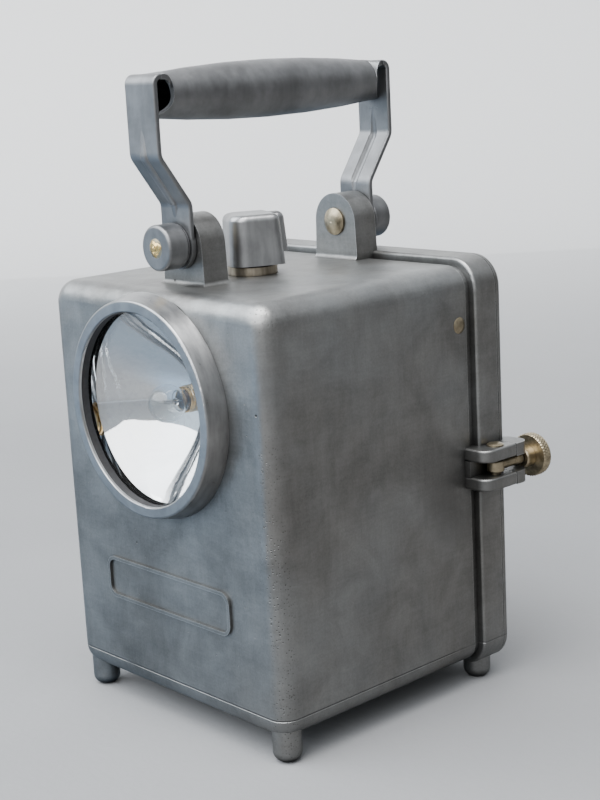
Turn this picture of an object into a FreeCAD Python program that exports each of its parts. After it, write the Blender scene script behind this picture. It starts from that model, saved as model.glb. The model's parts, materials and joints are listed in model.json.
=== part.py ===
"""Railroad hand lantern: a cast box for one battery, with a fold-down handle, a turning
switch knob, a screwed lens ring and a rear door held by a swing bolt.

Frame: X to the right, Y to the back, Z up, in millimetres. The origin is on the surface
that the lantern stands on, in the middle of its reach both across and along.
"""
import FreeCAD, Part
import os
import re
import Sketcher
from FreeCAD import Placement, Rotation, Vector

SIZES = {
    # Casting
    "body_width": 120.0,
    "seam_back": 54.9,
    "wall": 4.5,
    "front_wall": 5.0,
    "top_corner": 8.8,
    "bottom_corner": 7.5,
    "front_round": 7.0,
    # Rim band at the mouth and the groove in front of it
    "band_stand": 2.6,
    "band_depth": 11.0,
    "band_round": 1.2,
    "groove_width": 2.6,
    "groove_depth": 0.6,
    # Feet
    "foot_height": 9.2,
    "foot_radius": 5.2,
    "foot_round": 3.6,
    "foot_inset": 6.8,
    "foot_back_inset": 5.4,
    # Nameplate frame, bare inside
    "plate_height": 50.3,
    "plate_wide": 70.9,
    "plate_tall": 16.1,
    "plate_corner": 4.5,
    "plate_line": 1.3,
    "plate_proud": 1.0,
    # Battery rails on the floor of the casting
    "rail_tall": 4.0,
    "rail_thick": 2.0,
    # Lens ring, glass and reflector, on one level axis
    "lens_drop": 40.8,
    "front_opening": 36.2,
    "boss_radius": 39.0,
    "boss_tall": 3.0,
    "ring_proud": 8.0,
    "ring_face_radius": 38.9,
    "ring_base_radius": 40.6,
    "ring_opening": 34.7,
    "ring_lip": 1.2,
    "ring_round": 0.9,
    "seat_radius": 37.2,
    "glass_thick": 3.0,
    "seal_width": 2.3,
    "reflector_flange": 0.6,
    "reflector_wall": 0.6,
    "reflector_radius": 35.0,
    "reflector_shoulder": 1.5,
    "reflector_depth": 22.0,
    "neck_radius": 5.5,
    "neck_length": 5.0,
    # Lamp
    "bulb_centre": 7.2,
    "bulb_radius": 6.9,
    "bulb_neck": 4.2,
    "bulb_wall": 0.5,
    "bulb_tail": 17.5,
    "cap_front": 14.5,
    "cap_back": 27.0,
    "cap_radius": 4.75,
    "tip_radius": 1.7,
    "tip_length": 3.0,
    "holder_front": 21.0,
    "holder_back": 33.4,
    "holder_wall": 0.6,
    "insulator_radius": 9.0,
    "insulator_thick": 1.5,
    # Battery
    "battery_wide": 67.0,
    "battery_tall": 100.5,
    "battery_front_room": 3.1,
    "battery_back_room": 6.2,
    "battery_headroom": 12.5,
    "battery_corner": 6.0,
    "battery_bead": 0.8,
    "battery_bead_tall": 3.0,
    "cover_thick": 1.6,
    "terminal_size": 11.0,
    "terminal_thick": 0.8,
    "terminal_across": 17.0,
    "terminal_along": 9.7,
    "strip_thick": 0.5,
    "strip_wide": 6.0,
    "strip_bend": 1.5,
    # Side rivet and battery spring
    "rivet_along": 37.5,
    "rivet_drop": 20.9,
    "rivet_head": 3.0,
    "rivet_proud": 1.1,
    "rivet_shank": 1.9,
    "spring_wide": 12.0,
    "spring_thick": 0.6,
    # Switch
    "switch_along": -7.3,
    "collar_radius": 9.15,
    "collar_tall": 3.3,
    "bush_radius": 5.5,
    "bush_below": 6.0,
    "bush_nut_radius": 9.0,
    "bush_nut_thick": 3.0,
    "shaft_radius": 2.5,
    "shaft_head": 10.0,
    "knob_bottom": 0.4,
    "knob_turn": 25.3,
    "knob_tall": 18.4,
    "knob_front": 9.7,
    "knob_back": 10.3,
    "knob_side": 10.3,
    "knob_draft_back": 1.5,
    "knob_draft": 0.6,
    "knob_round": 2.6,
    "knob_corner": 6.0,
    "knob_back_corner": 2.8,
    "tab_thick": 6.2,
    "tab_reach": 13.7,
    "tab_draft": 1.3,
    "tab_corner": 2.75,
    "tab_rise": 3.7,
    "knob_screw": 1.25,
    "rotor_radius": 8.0,
    "rotor_tall": 7.0,
    "rotor_drop": 11.0,
    "blade_thick": 1.0,
    "blade_wide": 4.0,
    "blade_long": 22.0,
    "deck_wide": 44.0,
    "deck_long": 16.0,
    "deck_thick": 2.0,
    "deck_drop": 6.0,
    "pillar_radius": 3.0,
    "pillar_across": 17.5,
    "contact_across": 9.0,
    # Lugs, pivot screws and cap nuts
    "pivot_rise": 14.3,
    "lug_middle": 3.5,
    "lug_outer": 42.8,
    "lug_thick": 10.95,
    "lug_radius": 10.7,
    "lug_base": 22.6,
    "lug_fillet": 1.8,
    "screw_radius": 3.45,
    "screw_head": 5.15,
    "screw_proud": 2.3,
    "screw_tip": 0.6,
    "washer_radius": 7.6,
    "washer_thick": 0.7,
    "nut_radius": 8.15,
    "nut_length": 8.6,
    "nut_round": 1.2,
    # Handle
    "strap_wide": 16.4,
    "strap_thick": 2.0,
    "strap_edge": 0.7,
    "eye_radius": 8.5,
    "eye_gap": 0.2,
    "arm_outer": 56.8,
    "low_bend": 14.5,
    "high_bend": 31.5,
    "bend_radius": 5.0,
    "fold_radius": 3.5,
    "handle_rise": 59.3,
    "grip_end": 7.5,
    "grip_middle": 10.35,
    "grip_wall": 1.8,
    "scoop_front": 6.8,
    "scoop_back": 4.8,
    "scoop_drop": 6.6,
    "shoulder_skin": 0.1,
    "rib_radius": 2.4,
    "rib_proud": 1.0,
    "rib_hollow": 0.7,
    # Door, gasket and hinges
    "door_gap": 0.3,
    "door_thick": 2.8,
    "door_round": 1.9,
    "lip_inset": 0.5,
    "lip_thick": 2.0,
    "lip_deep": 3.0,
    "gasket_inset": 3.0,
    "gasket_wide": 4.0,
    "gasket_thick": 1.2,
    "gasket_free": 0.1,
    "knuckle_radius": 3.6,
    "knuckle_long": 8.0,
    "door_knuckle": 12.0,
    "hinge_low": 46.0,
    "hinge_high": 124.0,
    "hinge_pin": 1.6,
    "hinge_head": 2.7,
    "hinge_rise": 1.2,
    # Clasp
    "clasp_height": 86.0,
    "clasp_slot": 6.0,
    "clasp_plate": 4.8,
    "clasp_reach": 10.8,
    "ear_front": 38.5,
    "ear_corner": 5.0,
    "ear_round": 0.9,
    "prong_back": 62.3,
    "prong_corner": 4.0,
    "bolt_reach": 6.1,
    "bolt_along": 48.5,
    "clasp_pin": 2.0,
    "clasp_pin_head": 3.2,
    "clasp_pin_proud": 1.3,
    "bolt_eye": 3.2,
    "bolt_eye_tall": 4.6,
    "bolt_radius": 1.95,
    "nut_boss": 4.0,
    "nut_boss_long": 4.5,
    "knurl_radius": 8.25,
    "knurl_long": 4.1,
    "knurl_count": 36,
    # Fits
    "running": 0.06,
    "seat_gap": 0.05,
    "part_gap": 0.3,
}

# Places worked out from the sizes
HALF = "body_width / 2"
FLOOR = "(foot_height + wall)"
BATTERY_TOP = f"({FLOOR} + battery_tall + cover_thick)"
TERMINAL_TOP = f"({BATTERY_TOP} + terminal_thick)"
DECK_TOP = f"({TERMINAL_TOP} + battery_headroom + deck_thick)"
BLADE_BOTTOM = f"({DECK_TOP} + deck_drop)"
ROTOR_BOTTOM = f"({BLADE_BOTTOM} + blade_thick)"
ROOF = f"({ROTOR_BOTTOM} + rotor_tall + rotor_drop)"
TOP = f"({ROOF} + wall)"
BATTERY_BACK = "(seam_back - battery_back_room)"
BATTERY_FRONT = f"({BATTERY_BACK} - battery_wide)"
LEAD_BACK = f"({BATTERY_FRONT} - battery_front_room)"
FRONT = f"({LEAD_BACK} - insulator_thick - holder_back)"
BAND_FRONT = "(seam_back - band_depth)"
LENS = f"({TOP} - lens_drop)"
RIVET = f"({TOP} - rivet_drop)"
PIVOT = f"({TOP} + pivot_rise)"
DOOR_FRONT = "(seam_back + door_gap)"
DOOR_BACK = f"({DOOR_FRONT} + door_thick)"
HINGE_ACROSS = f"-({HALF} + band_stand + part_gap + knuckle_radius)"
HINGE_ALONG = "(seam_back + door_gap / 2)"
CLASP_FACE = f"({HALF} + clasp_reach)"
BOLT_ACROSS = f"({HALF} + bolt_reach)"
BOLT_END = "(prong_back + part_gap + nut_boss_long + knurl_long + part_gap)"
SLOT_LOW = "(clasp_height - clasp_slot / 2)"
SLOT_HIGH = "(clasp_height + clasp_slot / 2)"
EYE_INNER = "(lug_outer + eye_gap)"
EYE_OUTER = f"({EYE_INNER} + strap_thick)"
WASHER_OUTER = f"({EYE_OUTER} + eye_gap / 2 + washer_thick)"
NUT_OUTER = f"({WASHER_OUTER} + nut_length)"
HANDLE_TOP = f"({PIVOT} + handle_rise)"
GRIP_HEIGHT = f"({HANDLE_TOP} - grip_end)"
GRIP_REACH = "(arm_outer - fold_radius)"
ARM_INNER = "(arm_outer - strap_thick)"
KNOB_BOTTOM = f"({TOP} + collar_tall + knob_bottom)"
MIDDLE_ACROSS = f"(({BOLT_ACROSS} + knurl_radius + {HINGE_ACROSS} - knuckle_radius) / 2)"
MIDDLE_ALONG = f"(({BOLT_END} + {FRONT} - ring_proud) / 2)"

# Turns a sub-part made along its own Z axis
FORWARD = Rotation(Vector(1, 0, 0), 90)
BACKWARD = Rotation(Vector(1, 0, 0), -90)
RIGHTWARD = Rotation(Vector(0, 1, 0), 90)
LEFTWARD = Rotation(Vector(0, 1, 0), -90)
UPWARD = Rotation()

# The strip's turn from flat to half round: how far along it is, and how far curled
CURLS = ((0.0, 0.03), (0.4, 0.06), (0.74, 0.24), (0.92, 0.55), (1.0, 0.985))

TINY = 0.01
PLANE_ROLES = {"front": "XZ_Plane", "top": "XY_Plane", "side": "YZ_Plane"}

doc = FreeCAD.newDocument("RailroadLantern")
sheet = doc.addObject("Spreadsheet::Sheet", "Sizes")


def fill_sheet():
    """Writes every driving size into the sheet, beside its name."""
    for row, (name, size) in enumerate(SIZES.items(), start=1):
        sheet.set(f"A{row}", name)
        sheet.set(f"B{row}", str(size))
        sheet.setAlias(f"B{row}", name)
    doc.recompute()


def sized(text):
    """Turns the names in a formula into references to the sheet."""
    def reference(word):
        return "Sizes." + word[0] if word[0] in SIZES else word[0]
    return re.sub(r"[a-z][a-z_]*", reference, text)


def number(text):
    """The value of a formula, in millimetres."""
    return float(sheet.evalExpression(sized(text)))


def new_body(label):
    body = doc.addObject("PartDesign::Body", label)
    body.Label = label
    return body


def new_sketch(body, name, plane, at="0"):
    """A sketch on one of the body's own planes, moved along +Y, +Z or +X by at."""
    sketch = body.newObject("Sketcher::SketchObject", name)
    origin = [part for part in body.Origin.OriginFeatures if part.Role == PLANE_ROLES[plane]]
    sketch.AttachmentSupport = [(origin[0], "")]
    sketch.MapMode = "FlatFace"
    # The front plane's own normal points along -Y
    offset = f"-({at})" if plane == "front" else at
    sketch.setExpression(".AttachmentOffset.Base.z", sized(offset))
    return sketch


def constrain(sketch, kind, *args, size=None):
    """Adds a constraint, driven by a formula where one is given."""
    if size is None:
        sketch.addConstraint(Sketcher.Constraint(kind, *args))
        return
    index = sketch.addConstraint(Sketcher.Constraint(kind, *args, number(size)))
    if size != "0":
        sketch.setExpression(f"Constraints[{index}]", sized(size))


def fix_point(sketch, element, end, across, up):
    constrain(sketch, "DistanceX", -1, 1, element, end, size=across)
    constrain(sketch, "DistanceY", -1, 1, element, end, size=up)


def arc_between(start, end, radius, left):
    """The shorter arc from start to end, which turns left or right on its way."""
    chord = end - start
    across = Vector(-chord.y, chord.x, 0).normalize() * (1 if left else -1)
    rise = max(radius * radius - chord.Length * chord.Length / 4, 0) ** 0.5
    middle = (start + end) / 2
    centre = middle + across * rise
    crown = centre - across * radius
    return Part.Arc(start, crown, end)


def draw(sketch, path):
    """Closes an outline through the points of path.

    A point is (across, up), reached by a straight line, or (across, up, radius, turn),
    reached by an arc that turns "left" or "right".
    """
    places = [Vector(number(point[0]), number(point[1]), 0) for point in path]
    first = sketch.GeometryCount
    ends = []
    for index, point in enumerate(path):
        start = places[index - 1]
        end = places[index]
        if len(point) == 2:
            sketch.addGeometry(Part.LineSegment(start, end), False)
            ends.append((1, 2))
        else:
            left = point[3] == "left"
            sketch.addGeometry(arc_between(start, end, number(point[2]), left), False)
            ends.append((1, 2) if left else (2, 1))
    for index, point in enumerate(path):
        before = (index - 1) % len(path)
        constrain(sketch, "Coincident", first + before, ends[before][1], first + index, ends[index][0])
        fix_point(sketch, first + index, ends[index][1], point[0], point[1])
        if len(point) == 4:
            constrain(sketch, "Radius", first + index, size=point[2])


def draw_circle(sketch, across, up, radius):
    place = Vector(number(across), number(up), 0)
    index = sketch.addGeometry(Part.Circle(place, Vector(0, 0, 1), number(radius)), False)
    fix_point(sketch, index, 3, across, up)
    constrain(sketch, "Radius", index, size=radius)


def draw_run(sketch, points, radius):
    """Draws straight runs from point to point, open, with rounded corners.

    A corner (across, up, radius) has a radius of its own.
    """
    places = [Vector(number(point[0]), number(point[1]), 0) for point in points]
    radii = [point[2] if len(point) == 3 else radius for point in points]
    runs = []
    start = places[0]
    corners = range(1, len(places) - 1)
    for index in corners:
        into = (places[index] - places[index - 1]).normalize()
        out = (places[index + 1] - places[index]).normalize()
        bend = number(radii[index])
        back = bend * ((1 - into.dot(out)) / (1 + into.dot(out))) ** 0.5
        entry = places[index] - into * back
        leave = places[index] + out * back
        left = into.cross(out).z > 0
        runs.append((sketch.addGeometry(Part.LineSegment(start, entry), False), None))
        runs.append((sketch.addGeometry(arc_between(entry, leave, bend, left), False), left))
        start = leave
    runs.append((sketch.addGeometry(Part.LineSegment(start, places[-1]), False), None))
    fix_point(sketch, runs[0][0], 1, *points[0][:2])
    fix_point(sketch, runs[-1][0], 2, *points[-1][:2])
    for index in corners:
        line_before, line_after = runs[2 * index - 2][0], runs[2 * index][0]
        curve, left = runs[2 * index - 1]
        constrain(sketch, "Tangent", line_before, 2, curve, 1 if left else 2)
        constrain(sketch, "Tangent", curve, 2 if left else 1, line_after, 1)
        constrain(sketch, "Radius", curve, size=radii[index])
        corner = sketch.addGeometry(Part.Point(places[index]), True)
        fix_point(sketch, corner, 1, *points[index][:2])
        constrain(sketch, "PointOnObject", corner, 1, line_before)
        constrain(sketch, "PointOnObject", corner, 1, line_after)


def rounded_box(left, right, low, high, low_radius, high_radius):
    """The outline of an upright box whose lower and upper corners have their own radii."""
    return [
        (f"({right}) - ({low_radius})", low),
        (right, f"({low}) + ({low_radius})", low_radius, "left"),
        (right, f"({high}) - ({high_radius})"),
        (f"({right}) - ({high_radius})", high, high_radius, "left"),
        (f"({left}) + ({high_radius})", high),
        (left, f"({high}) - ({high_radius})", high_radius, "left"),
        (left, f"({low}) + ({low_radius})"),
        (f"({left}) + ({low_radius})", low, low_radius, "left"),
    ]


def casting_outline(outward):
    """The lantern's front outline, moved outward by a formula on every side."""
    return rounded_box(
        f"-({HALF} + ({outward}))", f"{HALF} + ({outward})",
        f"foot_height - ({outward})", f"{TOP} + ({outward})",
        f"bottom_corner + ({outward})", f"top_corner + ({outward})",
    )


def pad(body, sketch, length, backward=False):
    feature = body.newObject("PartDesign::Pad", sketch.Name + "_pad")
    feature.Profile = sketch
    feature.setExpression("Length", sized(length))
    feature.Reversed = backward
    doc.recompute()
    return feature


def cut(body, sketch, length, backward=False):
    """Pockets into the body, and stops if nothing was taken away."""
    before = body.Shape.Volume
    feature = body.newObject("PartDesign::Pocket", sketch.Name + "_cut")
    feature.Profile = sketch
    feature.setExpression("Length", sized(length))
    feature.Reversed = backward
    doc.recompute()
    if body.Shape.Volume > before - TINY:
        raise RuntimeError(sketch.Name + " cuts nothing")
    return feature


def turn(body, sketch):
    """Revolves a half outline about the body's own Z axis."""
    feature = body.newObject("PartDesign::Revolution", sketch.Name + "_turned")
    feature.Profile = sketch
    feature.ReferenceAxis = (sketch, ["V_Axis"])
    feature.Angle = 360
    doc.recompute()
    return feature


def lies_at(edge, **planes):
    """Tells whether an edge lies wholly in each of the named planes."""
    box = edge.BoundBox
    for axis, place in planes.items():
        low = getattr(box, axis.upper() + "Min")
        high = getattr(box, axis.upper() + "Max")
        if abs(low - place) > TINY or abs(high - place) > TINY:
            return False
    return True


def round_edges(body, radius, wanted):
    """Rounds the edges of the body that the test wanted picks."""
    names = [f"Edge{index}" for index, edge in enumerate(body.Shape.Edges, start=1) if wanted(edge)]
    if not names:
        raise RuntimeError("no edge to round on " + body.Label)
    base = body.Tip
    feature = body.newObject("PartDesign::Fillet", body.Name + "_round")
    feature.Base = (base, names)
    feature.setExpression("Radius", sized(radius))
    doc.recompute()
    return feature


def place(part, across="0", along="0", up="0", turned=UPWARD):
    """Puts a sub-part where the lantern needs it, seen from the middle of its reach."""
    part.Placement = Placement(Vector(), turned)
    part.setExpression("Placement.Base.x", sized(f"{across} - {MIDDLE_ACROSS}"))
    part.setExpression("Placement.Base.y", sized(f"{along} - {MIDDLE_ALONG}"))
    part.setExpression("Placement.Base.z", sized(up))
    return part


def turned_body(label, path):
    """A lathe-turned piece: the half outline (radius, height) revolved about Z."""
    body = new_body(label)
    sketch = new_sketch(body, label + "_section", "front")
    draw(sketch, path)
    turn(body, sketch)
    return body


def dome(radius, rise):
    """The radius of a ball whose cap is this wide and this tall."""
    return f"(({radius})^2 + ({rise})^2) / (2 * ({rise}))"


def group(label, parts):
    """Like fasteners that share one node, as separate solids."""
    compound = doc.addObject("Part::Compound", label)
    compound.Label = label
    compound.Links = parts
    return compound


def body_casting():
    """The cast box: walls, rim band, feet, lugs, clasp ears and hinge knuckles."""
    body = new_body("body_casting")
    block = new_sketch(body, "casting_block", "front", "seam_back")
    draw(block, casting_outline("0"))
    pad(body, block, f"seam_back - {FRONT}")
    front = number(FRONT)
    round_edges(body, "front_round", lambda edge: lies_at(edge, y=front))
    groove = new_sketch(body, "rim_groove", "front", BAND_FRONT)
    draw(groove, casting_outline("groove_depth"))
    draw(groove, casting_outline("-groove_depth"))
    cut(body, groove, "groove_width", backward=True)
    band = new_sketch(body, "rim_band", "front", "seam_back")
    draw(band, casting_outline("band_stand"))
    pad(body, band, "band_depth")
    side = number(f"{HALF} + band_stand")
    low = number("foot_height - band_stand")
    high = number(f"{TOP} + band_stand")
    edge_at = number(BAND_FRONT)

    def on_band_front(edge):
        box = edge.BoundBox
        outward = max(box.XMax - side, side * -1 - box.XMin, box.ZMax - high, low - box.ZMin)
        return lies_at(edge, y=edge_at) and outward > -TINY

    round_edges(body, "band_round", on_band_front)
    add_feet(body)
    add_lugs(body)
    add_ears(body)
    for height in ("hinge_low", "hinge_high"):
        add_casting_knuckles(body, height)
    hollow = new_sketch(body, "battery_room", "front", "seam_back")
    draw(hollow, casting_outline("-wall"))
    cut(body, hollow, f"seam_back - {FRONT} - front_wall", backward=True)
    add_front(body)
    add_rails(body)
    drill_casting(body)
    return place(body)


def add_feet(body):
    feet = new_sketch(body, "feet", "top")
    for across in (f"foot_inset - {HALF}", f"{HALF} - foot_inset"):
        for along in (f"{FRONT} + foot_inset", "seam_back - foot_back_inset"):
            draw_circle(feet, across, along, "foot_radius")
    pad(body, feet, "foot_height + bottom_corner")
    round_edges(body, "foot_round", lambda edge: lies_at(edge, z=0))


def lug_outline():
    """A tapered lug with a round top about the pivot, its foot sunk in the roof."""
    half = "lug_base / 2"
    return [
        (half, f"{TOP} - groove_depth"),
        ("lug_radius", PIVOT),
        ("0", f"{PIVOT} + lug_radius", "lug_radius", "left"),
        ("-lug_radius", PIVOT, "lug_radius", "left"),
        (f"-({half})", f"{TOP} - groove_depth"),
    ]


def add_lugs(body):
    """Two lugs on the roof, front and back of the switch."""
    outer = {"front_lug": "lug_middle - lug_outer + lug_thick", "back_lug": "lug_middle + lug_outer"}
    for name, face in outer.items():
        lug = new_sketch(body, name, "front", face)
        draw(lug, lug_outline())
        pad(body, lug, "lug_thick")
    top = number(TOP)
    foot = number("lug_middle - lug_outer")
    heel = number("lug_middle + lug_outer - lug_thick")
    thick = number("lug_thick")
    reach = number("lug_base / 2")

    def at_foot(edge):
        box = edge.BoundBox
        inside = box.XMax < reach and box.XMin > -reach
        front_lug = box.YMin > foot - TINY and box.YMax < foot + thick + TINY
        back_lug = lies_at(edge, y=heel)
        return lies_at(edge, z=top) and inside and (front_lug or back_lug)

    round_edges(body, "lug_fillet", at_foot)


def clasp_levels():
    """The lower faces of the two clasp plates."""
    return {"low": f"{SLOT_LOW} - clasp_plate", "high": SLOT_HIGH}


def add_ears(body):
    """The casting's half of the clasp: two plates that carry the bolt's pin."""
    for name, level in clasp_levels().items():
        ear = new_sketch(body, "ear_" + name, "top", level)
        draw(ear, [
            (f"{HALF} - wall / 2", "ear_front"),
            (f"{CLASP_FACE} - ear_corner", "ear_front"),
            (CLASP_FACE, "ear_front + ear_corner", "ear_corner", "left"),
            (CLASP_FACE, "seam_back"),
            (f"{HALF} - wall / 2", "seam_back"),
        ])
        pad(body, ear, "clasp_plate")
        round_plate(body, level)
    root = new_sketch(body, "ear_root", "top", SLOT_LOW)
    draw(root, [
        (f"{HALF} - wall / 2", "ear_front"),
        (f"{HALF} + band_stand", "ear_front"),
        (f"{HALF} + band_stand", "seam_back"),
        (f"{HALF} - wall / 2", "seam_back"),
    ])
    pad(body, root, "clasp_slot")


def round_plate(body, level):
    """Softens the long outer edges of a clasp plate, above and below."""
    low = number(level)
    high = number(f"{level} + clasp_plate")
    side = number(f"{HALF} + clasp_reach / 2")
    seam = number("seam_back")

    def along_rim(edge):
        level_edge = lies_at(edge, z=low) or lies_at(edge, z=high)
        return level_edge and edge.BoundBox.XMax > side and not lies_at(edge, y=seam)

    round_edges(body, "ear_round", along_rim)


def add_knuckle(body, name, level, length, face, edge):
    """One hinge knuckle with the web that joins it to the face at the seam."""
    knuckle = new_sketch(body, name, "top", level)
    draw_circle(knuckle, HINGE_ACROSS, HINGE_ALONG, "knuckle_radius")
    pad(body, knuckle, length)
    web = new_sketch(body, name + "_web", "top", level)
    draw(web, [
        (HINGE_ACROSS, edge),
        (f"-({HALF} - wall / 2)", edge),
        (f"-({HALF} - wall / 2)", face),
        (HINGE_ACROSS, face),
    ])
    pad(body, web, length)


def add_casting_knuckles(body, height):
    """The two knuckles of one hinge, above and below the door's own."""
    levels = {
        "above": f"{height} + door_knuckle / 2 + part_gap",
        "below": f"{height} - door_knuckle / 2 - part_gap - knuckle_long",
    }
    for name, level in levels.items():
        edge = f"{HINGE_ALONG} - knuckle_radius"
        add_knuckle(body, f"{height}_{name}", level, "knuckle_long", "seam_back", edge)


def add_front(body):
    """The lens opening with its threaded boss, and the bare nameplate frame."""
    boss = new_sketch(body, "lens_boss", "front", FRONT)
    draw_circle(boss, "0", LENS, "boss_radius")
    pad(body, boss, "boss_tall")
    seat = new_sketch(body, "lens_seat", "front", FRONT)
    draw_circle(seat, "0", LENS, "seat_radius")
    cut(body, seat, "boss_tall", backward=True)
    opening = new_sketch(body, "lens_opening", "front", FRONT)
    draw_circle(opening, "0", LENS, "front_opening")
    cut(body, opening, "front_wall")
    frame = new_sketch(body, "nameplate_frame", "front", FRONT)
    for inset in ("0", "plate_line"):
        draw(frame, rounded_box(
            f"-(plate_wide / 2 - {inset})", f"plate_wide / 2 - {inset}",
            f"plate_height - plate_tall / 2 + {inset}", f"plate_height + plate_tall / 2 - {inset}",
            f"plate_corner - {inset}", f"plate_corner - {inset}",
        ))
    pad(body, frame, "plate_proud")


def add_rails(body):
    """Two low rails on the floor that keep the battery in the middle."""
    inner = "battery_wide / 2 + battery_bead + part_gap"
    outer = f"{inner} + rail_thick"
    rails = new_sketch(body, "battery_rails", "top", f"{FLOOR} - wall / 2")
    for near, far in ((inner, outer), (f"-({outer})", f"-({inner})")):
        draw(rails, [
            (near, BATTERY_FRONT), (far, BATTERY_FRONT), (far, BATTERY_BACK), (near, BATTERY_BACK),
        ])
    pad(body, rails, "wall / 2 + rail_tall")


def drill_casting(body):
    """Holes for the pivot screws, switch bush, clasp pin, hinge pins and side rivet."""
    pivots = new_sketch(body, "pivot_holes", "front", "lug_middle + lug_outer")
    draw_circle(pivots, "0", PIVOT, "screw_radius + seat_gap")
    cut(body, pivots, "2 * lug_outer", backward=True)
    switch = new_sketch(body, "bush_hole", "top", TOP)
    draw_circle(switch, "0", "switch_along", "bush_radius + seat_gap")
    cut(body, switch, "wall")
    pin = new_sketch(body, "clasp_pin_hole", "top", f"{SLOT_HIGH} + clasp_plate")
    draw_circle(pin, BOLT_ACROSS, "bolt_along", "clasp_pin + seat_gap / 2")
    cut(body, pin, "clasp_slot + 2 * clasp_plate")
    hinge = new_sketch(body, "hinge_holes", "top", "hinge_high + door_knuckle / 2 + part_gap + knuckle_long")
    draw_circle(hinge, HINGE_ACROSS, HINGE_ALONG, "hinge_pin + seat_gap / 2")
    cut(body, hinge, "hinge_high - hinge_low + door_knuckle + 2 * part_gap + 2 * knuckle_long")
    rivet = new_sketch(body, "rivet_hole", "side", HALF)
    draw_circle(rivet, "rivet_along", RIVET, "rivet_shank + seat_gap")
    cut(body, rivet, "wall")


def rear_door():
    """The rear cover: flat plate, locating lip, gasket channel, clasp prongs, knuckles."""
    body = new_body("rear_door")
    plate = new_sketch(body, "door_plate", "front", DOOR_BACK)
    draw(plate, casting_outline("band_stand"))
    pad(body, plate, "door_thick")
    back = number(DOOR_BACK)
    round_edges(body, "door_round", lambda edge: lies_at(edge, y=back))
    lip = new_sketch(body, "door_lip", "front", DOOR_FRONT)
    draw(lip, casting_outline("-(wall + lip_inset)"))
    draw(lip, casting_outline("-(wall + lip_inset + lip_thick)"))
    pad(body, lip, "lip_deep + door_gap")
    for name, level in clasp_levels().items():
        prong = new_sketch(body, "prong_" + name, "top", level)
        draw(prong, [
            (f"{HALF} - wall / 2", DOOR_FRONT),
            (CLASP_FACE, DOOR_FRONT),
            (CLASP_FACE, "prong_back - prong_corner"),
            (f"{CLASP_FACE} - prong_corner", "prong_back", "prong_corner", "left"),
            (f"{HALF} + wall / 2", "prong_back"),
            (f"{HALF} - wall / 2", DOOR_BACK),
        ])
        pad(body, prong, "clasp_plate")
    for height in ("hinge_low", "hinge_high"):
        edge = f"{HINGE_ALONG} + knuckle_radius"
        level = f"{height} - door_knuckle / 2"
        add_knuckle(body, f"{height}_door", level, "door_knuckle", DOOR_FRONT, edge)
    channel = new_sketch(body, "gasket_channel", "front", DOOR_FRONT)
    draw(channel, casting_outline("gasket_wide + seat_gap - gasket_inset"))
    draw(channel, casting_outline("-(gasket_inset + seat_gap)"))
    cut(body, channel, "gasket_thick - door_gap + gasket_free + seat_gap")
    hinge = new_sketch(body, "door_hinge_holes", "top", "hinge_high + door_knuckle / 2")
    draw_circle(hinge, HINGE_ACROSS, HINGE_ALONG, "hinge_pin + running")
    cut(body, hinge, "hinge_high - hinge_low + door_knuckle")
    return place(body)


def door_gasket():
    """The rubber ring in the door's channel, which closes the mouth."""
    body = new_body("door_gasket")
    ring = new_sketch(body, "gasket_ring", "front", "seam_back + gasket_free + gasket_thick")
    draw(ring, casting_outline("gasket_wide - gasket_inset"))
    draw(ring, casting_outline("-gasket_inset"))
    pad(body, ring, "gasket_thick")
    return place(body)


def hinge_pins():
    """Two headed pins, pressed into the casting's knuckles."""
    pins = []
    for height in ("hinge_low", "hinge_high"):
        long = "door_knuckle + 2 * part_gap + 2 * knuckle_long"
        pin = turned_body(f"{height}_pin", [
            ("0", f"-({long}) / 2"),
            ("hinge_pin", f"-({long}) / 2"),
            ("hinge_pin", f"({long}) / 2"),
            ("hinge_head", f"({long}) / 2"),
            ("hinge_head", f"({long}) / 2 + hinge_rise / 2"),
            ("0", f"({long}) / 2 + hinge_rise", dome("hinge_head", "hinge_rise / 2"), "left"),
        ])
        pins.append(place(pin, HINGE_ACROSS, HINGE_ALONG, height))
    return group("hinge_pins", pins)


def on_lens_axis(part):
    """Faces a turned piece forward, its own origin on the casting's front face."""
    return place(part, "0", FRONT, LENS, FORWARD)


def bezel_ring():
    """The screwed ring: tapered outside, a rounded face and a thin lip over the seal."""
    ring = turned_body("bezel_ring", [
        ("boss_radius + seat_gap", "seat_gap"),
        ("ring_base_radius", "seat_gap"),
        ("ring_face_radius", "ring_proud - ring_round"),
        ("ring_face_radius - ring_round", "ring_proud", "ring_round", "left"),
        ("ring_opening + ring_round / 2", "ring_proud"),
        ("ring_opening", "ring_proud - ring_round / 2", "ring_round / 2", "left"),
        ("ring_opening", "ring_proud - ring_lip"),
        ("seat_radius", "ring_proud - ring_lip"),
        ("seat_radius", "boss_tall + seat_gap"),
        ("boss_radius + seat_gap", "boss_tall + seat_gap"),
    ])
    return on_lens_axis(ring)


def lens_gasket():
    """The rubber seal between the ring's lip and the glass."""
    seal = turned_body("lens_gasket", [
        ("seat_radius - seal_width - seat_gap", "reflector_flange + glass_thick"),
        ("seat_radius - seat_gap", "reflector_flange + glass_thick"),
        ("seat_radius - seat_gap", "ring_proud - ring_lip"),
        ("seat_radius - seal_width - seat_gap", "ring_proud - ring_lip"),
    ])
    return on_lens_axis(seal)


def lens_glass():
    """The flat front glass, with a ground edge."""
    ground = "reflector_flange / 2"
    glass = turned_body("lens_glass", [
        ("0", "reflector_flange"),
        (f"seat_radius - seat_gap - {ground}", "reflector_flange"),
        ("seat_radius - seat_gap", f"reflector_flange + {ground}"),
        ("seat_radius - seat_gap", f"reflector_flange + glass_thick - {ground}"),
        (f"seat_radius - seat_gap - {ground}", "reflector_flange + glass_thick"),
        ("0", "reflector_flange + glass_thick"),
    ])
    return on_lens_axis(glass)


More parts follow.
